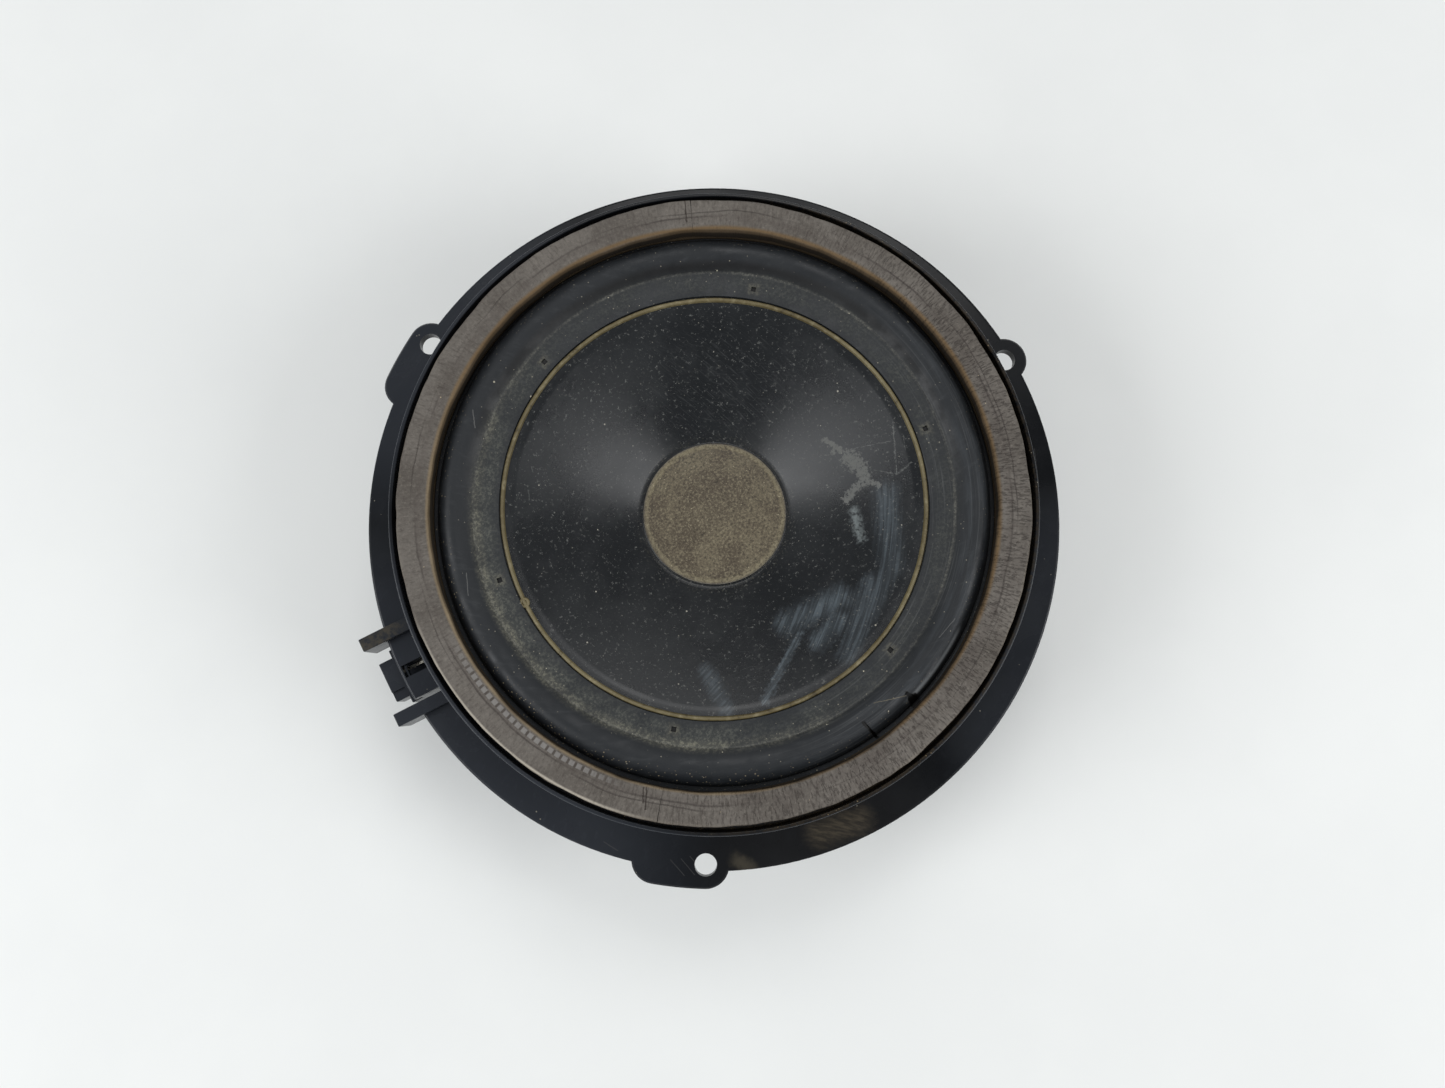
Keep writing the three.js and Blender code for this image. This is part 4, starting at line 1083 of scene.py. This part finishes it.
# %% [markdown]
# ## Plug socket
# The socket lies beside the collar: a stepped body, a shroud that takes the plug's nose, a window
# for its latch, and two rails that guide it, one set off by a groove. Each is a softened brick in
# a frame whose u axis points out of the mouth, then turned to its place.

# %% Socket bricks, joined on and cut out
SOCKET_TURN = radians(178.4)
shroud_top = flange_low - 2
shroud_low = shroud_top - 8
blade_z = shroud_top - 4


def socket_brick(name, u, v, z, soft=0.3):
    return brick(name, u, v, z, BASKET, soft, SOCKET_TURN)


raised += [
    socket_brick("socket_body", (75, 89.5), (-7.3, 7.3), (shroud_low, shroud_top)),
    socket_brick("socket_roof", (75, 86.5), (-7.3, 7.3), (shroud_top - 0.5, flange_low + 0.5), 0.1),
    socket_brick("socket_shroud", (75, 93.2), (-5.3, 5.3), (shroud_low, shroud_top), 0.35),
    socket_brick("rail_far", (78.5, 93.3), (8.6, 12.0), (39.5, 50.5), 0.35),
    socket_brick("rail_near", (78.5, 93.3), (-12.0, -8.6), (39.5, 50.5), 0.35),
]
hollows = [
    socket_brick("plug_nose", (79, 93.8), (-4, 4), (36.3, 41.7), 0),
    socket_brick("latch_window", (81.1, 87.1), (-1.6, 1.6), (41.2, 48.6), 0),
    socket_brick("rail_groove", (79.5, 93.8), (7.3, 8.6), (44.5, 48.6), 0),
    socket_brick("key_notch", (89.6, 93.8), (2.7, 5.9), (42.0, 43.6), 0),
    socket_brick("blade_slot_near", (72.4, 79.6), (-3.6, -0.8), (38.2, 39.8), 0),
    socket_brick("blade_slot_far", (72.4, 79.6), (0.8, 3.6), (38.2, 39.8), 0),
]


EAR_HOLE_R, RIVET_HOLE_R, RIVET_PITCH = 2.75, 2.3, 30.05


def peg(name, radius, place, low, high, steps=40):
    """A round pin that cuts a hole."""
    outline = [(0, low), (radius, low), (radius, high), (0, high)]
    piece = spin(name, outline, BASKET, steps=steps)
    piece.data.transform(Matrix.Translation(Vector((*place, 0)) * MM))
    return piece


for i, (pitch, turn, _, _) in enumerate(ears):
    place = (pitch * cos(turn), pitch * sin(turn))
    hollows.append(peg(f"ear_hole_{i}", EAR_HOLE_R, place, flange_low - 0.5, flange_top + 0.5))
rivet_spots = [(RIVET_PITCH * cos(a), RIVET_PITCH * sin(a)) for a in (pi / 3, pi, 5 * pi / 3)]


def rivet_pegs(name, low, high):
    """Pegs that stick half a millimetre out of a plate, one for each rivet."""
    spots = enumerate(rivet_spots)
    return [peg(f"{name}_{i}", RIVET_HOLE_R, place, low - 0.5, high + 0.5, 24) for i, place in spots]


hollows += rivet_pegs("rivet_hole", floor_low, floor_top)
combine(basket, "UNION", raised)
combine(basket, "DIFFERENCE", windows + hollows)
crisp(basket, BASKET, 30)
fit(basket, "chassis", "basket_plastic", "basket")

# %% [markdown]
# ## Motor
# Yoke, magnet and front plate are plain turned parts. They are seen through the windows and from
# behind, so they get true round edges and small chamfers in place of flats.

# %% Yoke, magnet and front plate
yoke = spin("yoke_and_pole", rounded([
    (0, 0, 0), (37.0, 0, 0.3), (38.0, 1.0, 0.3), (38.0, 5.0, 0.5), (POLE_R, 5.0, 0.4),
    (POLE_R, plate_top - 1, 0.3), (POLE_R - 1, plate_top, 0.3), (0, plate_top, 0),
]), ZINC)
fit(yoke, "chassis", "plated_steel", "yoke")
magnet = spin("magnet_ring", rounded([
    (21, 5.3, 0.6), (39, 5.3, 0.4), (40, 6.3, 0.4), (40, 19.3, 0.4), (39, 20.3, 0.4), (21, 20.3, 0.6),
]), FERRITE)
fit(magnet, "chassis", "ferrite", "magnet")
plate = spin("front_plate", rounded([
    (13.95, plate_low, 0.3), (37.5, plate_low, 0.5), (37.5, plate_top, 0.5), (13.95, plate_top, 0.3),
]), ZINC)
combine(plate, "DIFFERENCE", rivet_pegs("plate_hole", plate_low, plate_top))
crisp(plate, ZINC)
fit(plate, "chassis", "plated_steel", "top_plate")

# %% [markdown]
# ## Rivets by Geometry Nodes
# Three rivets stand on one circle, which is just the case for instances: the tree makes the
# circle's points, puts one turned rivet on each, then makes them real and gives them zinc.


# %% Helpers for geometry trees
def geometry_tree(name, inputs):
    """A geometry tree with a named input for each value, and the sockets of those inputs."""
    tree = bpy.data.node_groups.new(name, "GeometryNodeTree")
    tree.interface.new_socket("Geometry", in_out="INPUT", socket_type="NodeSocketGeometry")
    kinds = {float: "NodeSocketFloat", int: "NodeSocketInt"}
    kinds[bpy.types.Object] = "NodeSocketObject"
    for label, value in inputs.items():
        kind = kinds.get(type(value), "NodeSocketMaterial")
        tree.interface.new_socket(label, in_out="INPUT", socket_type=kind)
    tree.interface.new_socket("Geometry", in_out="OUTPUT", socket_type="NodeSocketGeometry")
    return tree, tree.nodes.new("NodeGroupInput").outputs


def finish_tree(tree, geometry, material):
    """Makes the instances real and gives them their finish, then ends the tree."""
    real = add(tree, "GeometryNodeRealizeInstances", {0: geometry})
    painted = add(tree, "GeometryNodeSetMaterial", {"Geometry": real.outputs[0], "Material": material})
    end = tree.nodes.new("NodeGroupOutput")
    tree.links.new(painted.outputs[0], end.inputs[0])


def grow(name, tree, inputs, material, sharp=35, start=None):
    """Runs a geometry tree on a curve or an empty mesh and returns the piece it makes."""
    piece = bpy.data.objects.new(name + "_start", start or bpy.data.meshes.new(name))
    scene.collection.objects.link(piece)
    modifier = piece.modifiers.new(name, "NODES")
    modifier.node_group = tree
    for item in tree.interface.items_tree:
        if item.in_out == "INPUT" and item.name in inputs:
            modifier[item.identifier] = inputs[item.name]
    mesh = plain_mesh(piece)
    bpy.data.objects.remove(piece)
    return finish_mesh(name, mesh, material, sharp)


# %% Rivets on their circle
foot, head = plate_low + 0.3, floor_top
rivet_outline = [
    (0, foot, 0), (2, foot, 0.2), (2, head + 0.3, 0), (4, head + 0.3, 0.2),
    (3.7, head + 1.2, 0.5), (2.6, head + 1.8, 0.4), (1.0, head + 1.8, 0.3), (0, head + 1.6, 0),
]
pattern = spin("rivet_pattern", rounded(rivet_outline, 3), ZINC, steps=32)
inputs = {"Count": 3, "Pitch": RIVET_PITCH * MM, "Turn": pi / 3, "Pattern": pattern, "Material": ZINC}
tree, given = geometry_tree("Rivets on a circle", inputs)
circle = add(tree, "GeometryNodeMeshCircle", {"Vertices": given["Count"], "Radius": given["Pitch"]})
turned = add(
    tree, "GeometryNodeTransform", {"Geometry": circle.outputs[0], "Rotation": joined(z=given["Turn"])},
)
shape = add(tree, "GeometryNodeObjectInfo", {"Object": given["Pattern"]})
spread = add(
    tree, "GeometryNodeInstanceOnPoints",
    {"Points": turned.outputs[0], "Instance": shape.outputs["Geometry"]},
)
finish_tree(tree, spread.outputs[0], given["Material"])
rivets = grow("plate_rivets", tree, inputs, ZINC)
bpy.data.objects.remove(pattern)
fit(rivets, "chassis", "plated_steel", "motor_rivet_1", "motor_rivet_2", "motor_rivet_3")

# %% [markdown]
# ## Voice coil
# The former is a paper tube. The winding is really one long wire laid turn on turn, so a spiral
# curve with a round section draws it honestly.

# %% Former and wound wire
FORMER_IN, FORMER_OUT = 12.55, 12.9
low, high = bottom_of("voice_coil_former"), top_of("voice_coil_former")
former = spin("coil_former", [
    (FORMER_IN, low), (FORMER_OUT, low), (FORMER_OUT, high), (FORMER_IN, high),
], PAPER, steps=120)
fit(former, "diaphragm", "former_paper", "voice_coil_former")
WIRE, WOUND_R = 0.26, 13.325
wound = top_of("voice_coil_winding") - bottom_of("voice_coil_winding") - 2 * WIRE
inputs = {
    "Turns": wound / (2 * WIRE), "Radius": WOUND_R * MM, "Height": wound * MM, "Wire": WIRE * MM,
    "Steps": 44, "Material": COPPER,
}
tree, given = geometry_tree("Wound wire", inputs)
wire = add(tree, "GeometryNodeCurveSpiral", {
    "Resolution": given["Steps"], "Rotations": given["Turns"], "Start Radius": given["Radius"],
    "End Radius": given["Radius"], "Height": given["Height"],
})
section = add(tree, "GeometryNodeCurvePrimitiveCircle", {"Resolution": 6, "Radius": given["Wire"]})
swept = add(
    tree, "GeometryNodeCurveToMesh",
    {"Curve": wire.outputs[0], "Profile Curve": section.outputs[0], "Fill Caps": True},
)
finish_tree(tree, swept.outputs[0], given["Material"])
winding = grow("coil_winding", tree, inputs, COPPER, sharp=80)
winding.data.transform(Matrix.Translation((0, 0, (bottom_of("voice_coil_winding") + WIRE) * MM)))
fit(winding, "diaphragm", "copper_wire", "voice_coil_winding")

# %% [markdown]
# ## Cone, cap and their beads
# The cone's wall is nearly straight with a slight flare, the cap is a pressed cloth dome with a
# raised rim. Beads are turned too, with a few slow waves, because glue is never laid evenly.


# %% Cone body
def cone_height(radius):
    share = max((radius - NECK_R) / (LIP_R - NECK_R), 0)
    return neck_top + CONE_DEPTH * share ** 0.9


steps = [NECK_R + 0.8 + (LIP_R - NECK_R - 0.8) * k / 26 for k in range(27)]
face = [(r, cone_height(r)) for r in steps]
under = [(r, z - 0.8) for r, z in face]
outline = [(NECK_R + 0.8, neck_top - 2.4), *under, (56.9, lip_top - 0.8), (56.9, lip_top)]
outline += [*reversed(face), (NECK_R, neck_top), (NECK_R, neck_top - 2.4)]
cone = spin("cone_body", outline, CONE, steps=180, sharp=40)
fit(cone, "diaphragm", "cone_polymer", "cone")

# %% Dust cap with its pressed rim
cap_low, cap_top = bottom_of("dust_cap"), top_of("dust_cap")
CAP_R = radius_of("dust_cap")


def cap_height(radius):
    dome = cap_low + 1.2 + (cap_top - cap_low - 1.2) * (1 - (radius / 16.6) ** 2)
    rim = cap_low + 1.15
    return max(dome, rim) if radius > 16.2 else max(dome, rim - 0.1)


rings = [CAP_R * k / 40 for k in range(38)]
outside = [(r, cap_height(r)) for r in rings]
outside += [(17.0, cap_low + 1.35), (17.45, cap_low + 1.3), (17.8, cap_low + 0.95), (17.9, cap_low + 0.4)]
inside = [(17.6, cap_low), (16.6, cap_low + 0.4)] + [(r, cap_height(r) - 0.45) for r in reversed(rings[:35])]
cap = spin(
    "cap_dome", [(0, cap_top), *outside[1:], *inside[:-1], (0, inside[-1][1])], CLOTH, steps=144, sharp=60,
)
fit(cap, "diaphragm", "cap_fabric", "dust_cap")


# %% Glue beads that waver
def waver(width, height, seed):
    def shift(angle):
        slow = sin(3 * angle + seed) + 0.6 * sin(7 * angle + 2 * seed)
        quick = 0.5 * sin(23 * angle + seed) + 0.3 * sin(51 * angle + 3 * seed)
        return (width * (slow + quick) / 2.4, height * (slow - quick) / 2.4)

    return shift


def bead(name, inner, outer, foot_in, foot_out, rise, material, wobble, bulge=0.5):
    """A bead from radius inner to outer, with feet at two heights and a rounded back."""
    outline = [(inner, foot_in), (outer, foot_out)]
    for k in range(1, 8):
        t = k / 8
        foot = foot_out + (foot_in - foot_out) * t
        outline.append((outer + (inner - outer) * t, foot + rise * sin(pi * t) ** bulge))
    return spin(name, outline, material, steps=240, sharp=70, wobble=wobble)


edge_low = lip_top + 0.3
edge_bead = bead(
    "edge_bead", 50.02, 51.2, edge_low - 0.25, edge_low - 0.25, 0.7, AMBER, waver(0.09, 0.03, 1.3), 0.4,
)
drip = spin("bead_drip", rounded([
    (0.45, 0, 0), (1.35, 0, 0.2), (1.2, 0.55, 0.3), (0.75, 0.6, 0.2), (0.45, 0.2, 0.1),
], 3), AMBER, steps=28)
drip.data.transform(Matrix.Translation(Vector((-50.6, 0.7, edge_low - 0.1)) * MM))
combine(edge_bead, "UNION", [drip])
crisp(edge_bead, AMBER, 70)
fit(edge_bead, "diaphragm", "tan_glue", "cone_edge_glue")
cap_bead = spin("cap_bead", [
    (17.95, cone_height(17.95) + 0.05), (19.2, cone_height(19.2) + 0.04), (18.6, cone_height(18.6) + 0.10),
    (18.2, cone_height(18.2) + 0.22), (18.0, cone_height(18.0) + 0.45),
], CONE, steps=180, sharp=60, wobble=waver(0.03, 0.02, 0.4))
fit(cap_bead, "diaphragm", "black_glue", "dust_cap_bead")
for name, node, wide_low in (("spider_fillet", "spider_glue", True), ("neck_fillet", "neck_glue", False)):
    low, high = bottom_of(node), top_of(node)
    corners = [
        (13.2, low, 0.0 if wide_low else 0.2), (14.6, low if wide_low else high, 0.3),
        (13.2, high, 0.2 if wide_low else 0.0),
    ]
    fit(spin(name, rounded(corners), BLACK, steps=120, sharp=60), "diaphragm", "black_glue", node)

# %% [markdown]
# ## Surround
# The rubber has a flat inner land glued on the cone, one round roll, and an outer lip clamped
# under the gasket. Six small square pits lie in the land. Two splits have opened by the gasket:
# thin wedges are cut down to a skin of a tenth of a millimetre.

# %% Turned rubber with pits and splits
surround_low = bottom_of("surround")


def roll_height(radius):
    t = (ROLL_OUT - radius) / (ROLL_OUT - ROLL_IN)
    return surround_low + 2.3 * t + 3.6 * sin(pi * t ** 0.74) ** 0.85


arch = [ROLL_IN + (ROLL_OUT - ROLL_IN) * k / 28 for k in range(29)]
under = [
    (51.3, surround_low + 2.3), (53.8, surround_low + 2.3), *[(r, roll_height(r)) for r in arch],
    (75.6, surround_low),
]
over = [(r, z + 0.7) for r, z in reversed(under)]
surround = spin("surround_roll", under + over, RUBBER, steps=240, sharp=50)
land_top = surround_low + 3.0
cuts = []
for k in range(6):
    pit = brick(
        f"pit_{k}", (53.25, 54.45), (-0.6, 0.6), (land_top - 0.4, land_top + 0.5), RUBBER, 0.0,
        radians(60 * k - PIT_TURN),
    )
    cuts.append(pit)


def split(name, turn, inner, outer, wide, lean):
    """A cut that leaves 0.12 mm of rubber, so no light comes up through it."""
    verts, faces, count = [], [], 13
    for k in range(count):
        t = k / (count - 1)
        r = inner + (outer - inner) * t
        half, sway = 0.03 + (wide / 2 - 0.03) * t, lean * t * t
        low = roll_height(min(r, ROLL_OUT)) + 0.12
        verts += [
            (r, sway - half, low), (r, sway + half, low), (r, sway + half, low + 3),
            (r, sway - half, low + 3),
        ]
    for k in range(count - 1):
        a, b = 4 * k, 4 * k + 4
        faces += [(a + i, a + (i + 1) % 4, b + (i + 1) % 4, b + i) for i in range(4)]
    faces += [(3, 2, 1, 0), tuple(4 * (count - 1) + i for i in range(4))]
    wedge = to_object(name, verts, faces, RUBBER)
    wedge.data.transform(Matrix.Rotation(turn, 4, "Z"))
    return wedge


cuts += [
    split("split_wide", TEAR[1], 62.8, 66.8, 3.2, 0.3), split("split_fine", TEAR[0], 61.6, 67.2, 0.9, 0.9),
]
combine(surround, "DIFFERENCE", cuts)
crisp(surround, RUBBER, 50)
FLAP, CURL = (61.0, 66.6), (62.4, 66.4)
curl_turn = radians(20)
for vert in surround.data.vertices:
    turn, away = atan2(vert.co.y, vert.co.x), sqrt(vert.co.x ** 2 + vert.co.y ** 2) / MM
    if TEAR[0] < turn < TEAR[1] and FLAP[0] < away < FLAP[1]:
        across = (turn - TEAR[0]) / (TEAR[1] - TEAR[0])
        vert.co.z -= 0.7 * MM * across ** 2 * sin(pi * (away - FLAP[0]) / 5.6) ** 2
    elif TEAR[1] < turn < TEAR[1] + curl_turn and CURL[0] < away < CURL[1]:
        curl = 1 - (turn - TEAR[1]) / curl_turn
        vert.co.z += 1.1 * MM * curl ** 2 * sin(pi * (away - CURL[0]) / 4.0) ** 2
print("surround vertices:", len(surround.data.vertices))

# %% [markdown]
# ## Ring pieces
# A ring piece has its transform baked into its mesh, and the node it stands for is hidden.

# %% Bake a ring's transform
def blend_ring(piece):
    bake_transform(piece)


def fit_ring(piece, node):
    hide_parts(node)
    blend_ring(piece)
    made.append(piece)


fit_ring(surround, "surround")

# %% [markdown]
# ## Spider
# A spider is resin-dipped cloth pressed in rings. Its height is a plain sine of its radius, so a
# grid is bent round the axis by that rule in Geometry Nodes, and given a wall afterwards.

# %% Pressed cloth disc
spider_mid = (bottom_of("spider") + top_of("spider")) / 2
inputs = {
    "Inner": 13.3 * MM, "Outer": 45.0 * MM, "Flat": 4.2 * MM, "Waves": 7.0, "Wave": 0.85 * MM,
    "Middle": spider_mid * MM, "Material": WEAVE,
}
tree, given = geometry_tree("Pressed disc", inputs)
grid = add(tree, "GeometryNodeMeshGrid", {"Size X": 1.0, "Size Y": 1.0, "Vertices X": 181, "Vertices Y": 121})
x, y, _ = parts_of(add(tree, "GeometryNodeInputPosition").outputs[0])
turn = times(plus(x, 0.5), 2 * pi)
out = plus(y, 0.5)
radius = plus(given["Inner"], times(out, minus(given["Outer"], given["Inner"])))
inside = minus(radius, plus(given["Inner"], times(given["Flat"], 0.4)))
room = minus(minus(given["Outer"], given["Flat"]), plus(given["Inner"], times(given["Flat"], 0.4)))
share = maths("DIVIDE", inside, room, clamp=True)
wave = maths("SINE", times(share, given["Waves"], 2 * pi))
height = plus(given["Middle"], times(wave, given["Wave"]))
place = joined(times(radius, maths("COSINE", turn)), times(radius, maths("SINE", turn)), height)
bent = add(tree, "GeometryNodeSetPosition", {"Geometry": grid.outputs[0], "Position": place})
closed = add(tree, "GeometryNodeMergeByDistance", {"Geometry": bent.outputs[0], "Distance": 1e-6})
finish_tree(tree, closed.outputs[0], given["Material"])
spider = grow("spider_disc", tree, inputs, WEAVE, sharp=60)
wall = spider.modifiers.new("cloth_wall", "SOLIDIFY")
wall.thickness, wall.offset = 0.45 * MM, 0
settle(spider)
fit_ring(spider, "spider")

# %% [markdown]
# ## Gasket
# The foam ring is butted together from two arcs. Each arc is a section swept along a curve; the
# section is a square with soft corners, and a slow noise moves its skin so that no edge runs
# perfectly true. The ring sits a little off the middle, as it was stuck down by hand.

# %% Foam arcs and the board under them
SEAMS = (radians(66), radians(-128.5))
foam_mid = (gasket_low + gasket_top) / 2
inputs = {
    "Radius": ((GASKET_IN + gasket_out) / 2 + 0.12) * MM, "Width": (gasket_out - GASKET_IN + 0.3) * MM,
    "Thick": (gasket_top - gasket_low) * MM, "First Seam": SEAMS[0], "Second Seam": SEAMS[1] + 2 * pi,
    "Butt": 0.0016, "Waver": 0.0011, "Material": FOAM,
}
tree, given = geometry_tree("Butted foam ring", inputs)
sweep_one = minus(minus(given["Second Seam"], given["First Seam"]), given["Butt"])
sweep_two = minus(minus(2 * pi, sweep_one), times(given["Butt"], 2.0))
arcs = []
for start, length, count in ((given["First Seam"], sweep_one, 220), (given["Second Seam"], sweep_two, 220)):
    arcs.append(add(tree, "GeometryNodeCurveArc", {
        "Resolution": count, "Radius": given["Radius"], "Start Angle": start, "Sweep Angle": length,
    }))
both = add(tree, "GeometryNodeJoinGeometry")
for one in arcs:
    tree.links.new(one.outputs[0], both.inputs[0])
circle = add(tree, "GeometryNodeCurvePrimitiveCircle", {"Resolution": 56, "Radius": 1.0})
x, y, _ = parts_of(add(tree, "GeometryNodeInputPosition").outputs[0])


def squared(value, size):
    strength = maths("POWER", maths("ABSOLUTE", value), 0.24)
    return times(maths("SIGN", value), strength, size, 0.5)


flat = joined(squared(x, given["Width"]), squared(y, given["Thick"]))
section = add(tree, "GeometryNodeSetPosition", {"Geometry": circle.outputs[0], "Position": flat})
swept = add(
    tree, "GeometryNodeCurveToMesh",
    {"Curve": both.outputs[0], "Profile Curve": section.outputs[0], "Fill Caps": True},
)
rough = noise(add(tree, "GeometryNodeInputPosition").outputs[0], 90.0, output="Color")
centred = vector_maths("SUBTRACT", rough, (0.5, 0.5, 0.5))
pushed = vector_maths("MULTIPLY", vector_maths("SCALE", centred, given["Waver"]), (1, 1, 0.3))
wavered = add(tree, "GeometryNodeSetPosition", {"Geometry": swept.outputs[0], "Offset": pushed})
finish_tree(tree, wavered.outputs[0], given["Material"])
foam = grow("gasket_foam_ring", tree, inputs, FOAM, sharp=60)
foam_box = [min(v.co.z for v in foam.data.vertices) / MM, max(v.co.z for v in foam.data.vertices) / MM]
print("foam heights about its middle, mm:", foam_box)
OFF_CENTRE = Vector((-0.16, -0.24, 0)) * MM
foam.data.transform(Matrix.Translation(OFF_CENTRE + Vector((0, 0, foam_mid * MM))))
fit(foam, "chassis", "gasket_foam", "foam_gasket")
card = spin("gasket_board", rounded([
    (67.0, 64.9, 0.15), (74.3, 64.9, 0.15), (74.3, 65.8, 0.15), (67.0, 65.8, 0.15),
]), CARD, steps=240, wobble=waver(0.12, 0.0, 2.1))
card.data.transform(Matrix.Translation(OFF_CENTRE))
fit(card, "chassis", "gasket_board", "gasket_board_ring")

# %% [markdown]
# ## Terminals and leads
# Two tinned blades stand in the socket with a blob of solder on each tail. From there a tinsel
# lead, copper strands twisted on a thread, arches over to the coil former. Each lead is grown as
# a few strands that wind about one route.

# %% Blades and solder
turn_socket = Matrix.Rotation(SOCKET_TURN, 4, "Z")
BLADE_TAIL, BLADE_TIP, SOLDER_U = 64.0, 88.2, 65.5
for sign, name in ((-1, "positive"), (1, "negative")):
    v = sign * 2.2
    blade = brick(
        f"blade_{name}", (BLADE_TAIL, BLADE_TIP), (v - 1.1, v + 1.1), (blade_z - 0.4, blade_z + 0.4), TIN,
        0.18, SOCKET_TURN,
    )
    fit(blade, "chassis", "tinned_brass", f"terminal_blade_{name}")
    low = blade_z + 0.7
    dab = spin(
        f"solder_{name}",
        rounded(
            [
                (0, low, 0), (1.5, low, 0.2), (1.35, low + 0.6, 0.3), (0.85, low + 1.25, 0.3),
                (0.4, low + 1.5, 0.2), (0, low + 1.5, 0),
            ],
            3,
        ),
        SOLDER, steps=28,
    )
    dab.data.transform(turn_socket @ Matrix.Translation(Vector((SOLDER_U, v, 0)) * MM))
    fit(dab, "chassis", "solder", f"solder_joint_{name}")


# %% Twisted strands along a route
def strand_tree():
    inputs = {"Strands": 5, "Lay": 0.42 * MM, "Pitch": 5.0 * MM, "Strand": 0.26 * MM, "Material": TINSEL}
    tree, given = geometry_tree("Twisted strands", inputs)
    start = tree.nodes["Group Input"].outputs["Geometry"]
    dense = add(tree, "GeometryNodeResampleCurve", {"Curve": start, "Length": 0.5 * MM}, mode="LENGTH")
    copies = add(
        tree, "GeometryNodeDuplicateElements", {"Geometry": dense.outputs[0], "Amount": given["Strands"]},
        domain="SPLINE",
    )
    length = add(tree, "GeometryNodeSplineParameter").outputs["Length"]
    share = maths("DIVIDE", copies.outputs["Duplicate Index"], given["Strands"])
    phase = times(plus(maths("DIVIDE", length, given["Pitch"]), share), 2 * pi)
    normal = add(tree, "GeometryNodeInputNormal").outputs[0]
    tangent = add(tree, "GeometryNodeInputTangent").outputs[0]
    cross = vector_maths("CROSS_PRODUCT", tangent, normal)
    one = vector_maths("SCALE", normal, times(maths("COSINE", phase), given["Lay"]))
    two = vector_maths("SCALE", cross, times(maths("SINE", phase), given["Lay"]))
    wound = add(
        tree, "GeometryNodeSetPosition",
        {"Geometry": copies.outputs[0], "Offset": vector_maths("ADD", one, two)},
    )
    section = add(tree, "GeometryNodeCurvePrimitiveCircle", {"Resolution": 6, "Radius": given["Strand"]})
    swept = add(
        tree, "GeometryNodeCurveToMesh",
        {"Curve": wound.outputs[0], "Profile Curve": section.outputs[0], "Fill Caps": True},
    )
    finish_tree(tree, swept.outputs[0], given["Material"])
    return tree, inputs


strands, strand_inputs = strand_tree()


def lead_route(v):
    start_z, end_u = blade_z + 2.5, NECK_R + 3.3
    joint_z = (top_of("spider_glue") + bottom_of("neck_glue")) / 2
    arch_z, span = (neck_top + start_z) / 2, SOLDER_U - end_u
    return [
        (SOLDER_U, v, start_z), (SOLDER_U - 0.04 * span, v, (start_z + arch_z) / 2),
        (SOLDER_U - 0.2 * span, v, arch_z), (SOLDER_U - 0.5 * span, v, arch_z),
        (SOLDER_U - 0.8 * span, v, joint_z), (end_u, v, joint_z),
    ]


def grow_lead(name, v):
    data = bpy.data.curves.new(name, "CURVE")
    data.dimensions = "3D"
    line = data.splines.new("BEZIER")
    route = lead_route(v)
    line.bezier_points.add(len(route) - 1)
    for point, place in zip(line.bezier_points, route):
        point.co = Vector(place) * MM
        point.handle_left_type = point.handle_right_type = "AUTO"
    data.resolution_u = 16
    lead = grow(name, strands, strand_inputs, TINSEL, sharp=80, start=data)
    lead.data.transform(turn_socket)
    return lead


# %% Leads, arched from socket to coil, and the glue over their ends
for sign, name in ((-1, "positive"), (1, "negative")):
    lead = grow_lead(f"tinsel_{name}", sign * 2.2)
    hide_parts(f"tinsel_lead_{name}")
    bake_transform(lead)
    made.append(lead)
    print(lead.name, "faces", len(lead.data.polygons))
    low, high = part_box(f"lead_joint_{name}")
    middle = (low + high) / 2
    work = bmesh.new()
    bmesh.ops.create_icosphere(work, subdivisions=3, radius=1.45 * MM)
    for vert in work.verts:
        lump = 1 - 0.06 * (
            1 + sin(vert.co.x * 2100 + 3 * sign) * sin(vert.co.y * 1700) * sin(vert.co.z * 1900 + 1)
        )
        vert.co = vert.co * lump
    mesh = bpy.data.meshes.new(f"lead_dab_{name}")
    work.to_mesh(mesh)
    work.free()
    mesh.transform(Matrix.Translation(middle))
    dab = finish_mesh(f"lead_dab_{name}", mesh, BLACK)
    fit(dab, "diaphragm", "black_glue", f"lead_joint_{name}")

# %% [markdown]
# ## Floor
# A pale painted bench top: nearly white, very slightly mottled, wide enough to fill any view.

# %% Bench top
material, shader, where = surface("bench_paint", 0.7, specular=0.2)
cloudy = noise(where, 9.0, 5.0, 0.6)
dress(
    shader, blend_colour(ramp(cloudy, 0.35, 0.65), (0.775, 0.785, 0.772), (0.80, 0.81, 0.795)),
    noise(where, 160.0, 4.0), 0.08, 0.3,
)
floor = to_object(
    "bench_top", [(-6000, -6000, -0.05), (6000, -6000, -0.05), (6000, 6000, -0.05), (-6000, 6000, -0.05)],
    [(0, 1, 2, 3)], material,
)

# %% [markdown]
# ## Count
# The pieces made and their faces are counted and printed.

# %% Pieces and faces
print("pieces:", len(made), "faces:", sum(len(p.data.polygons) for p in made))
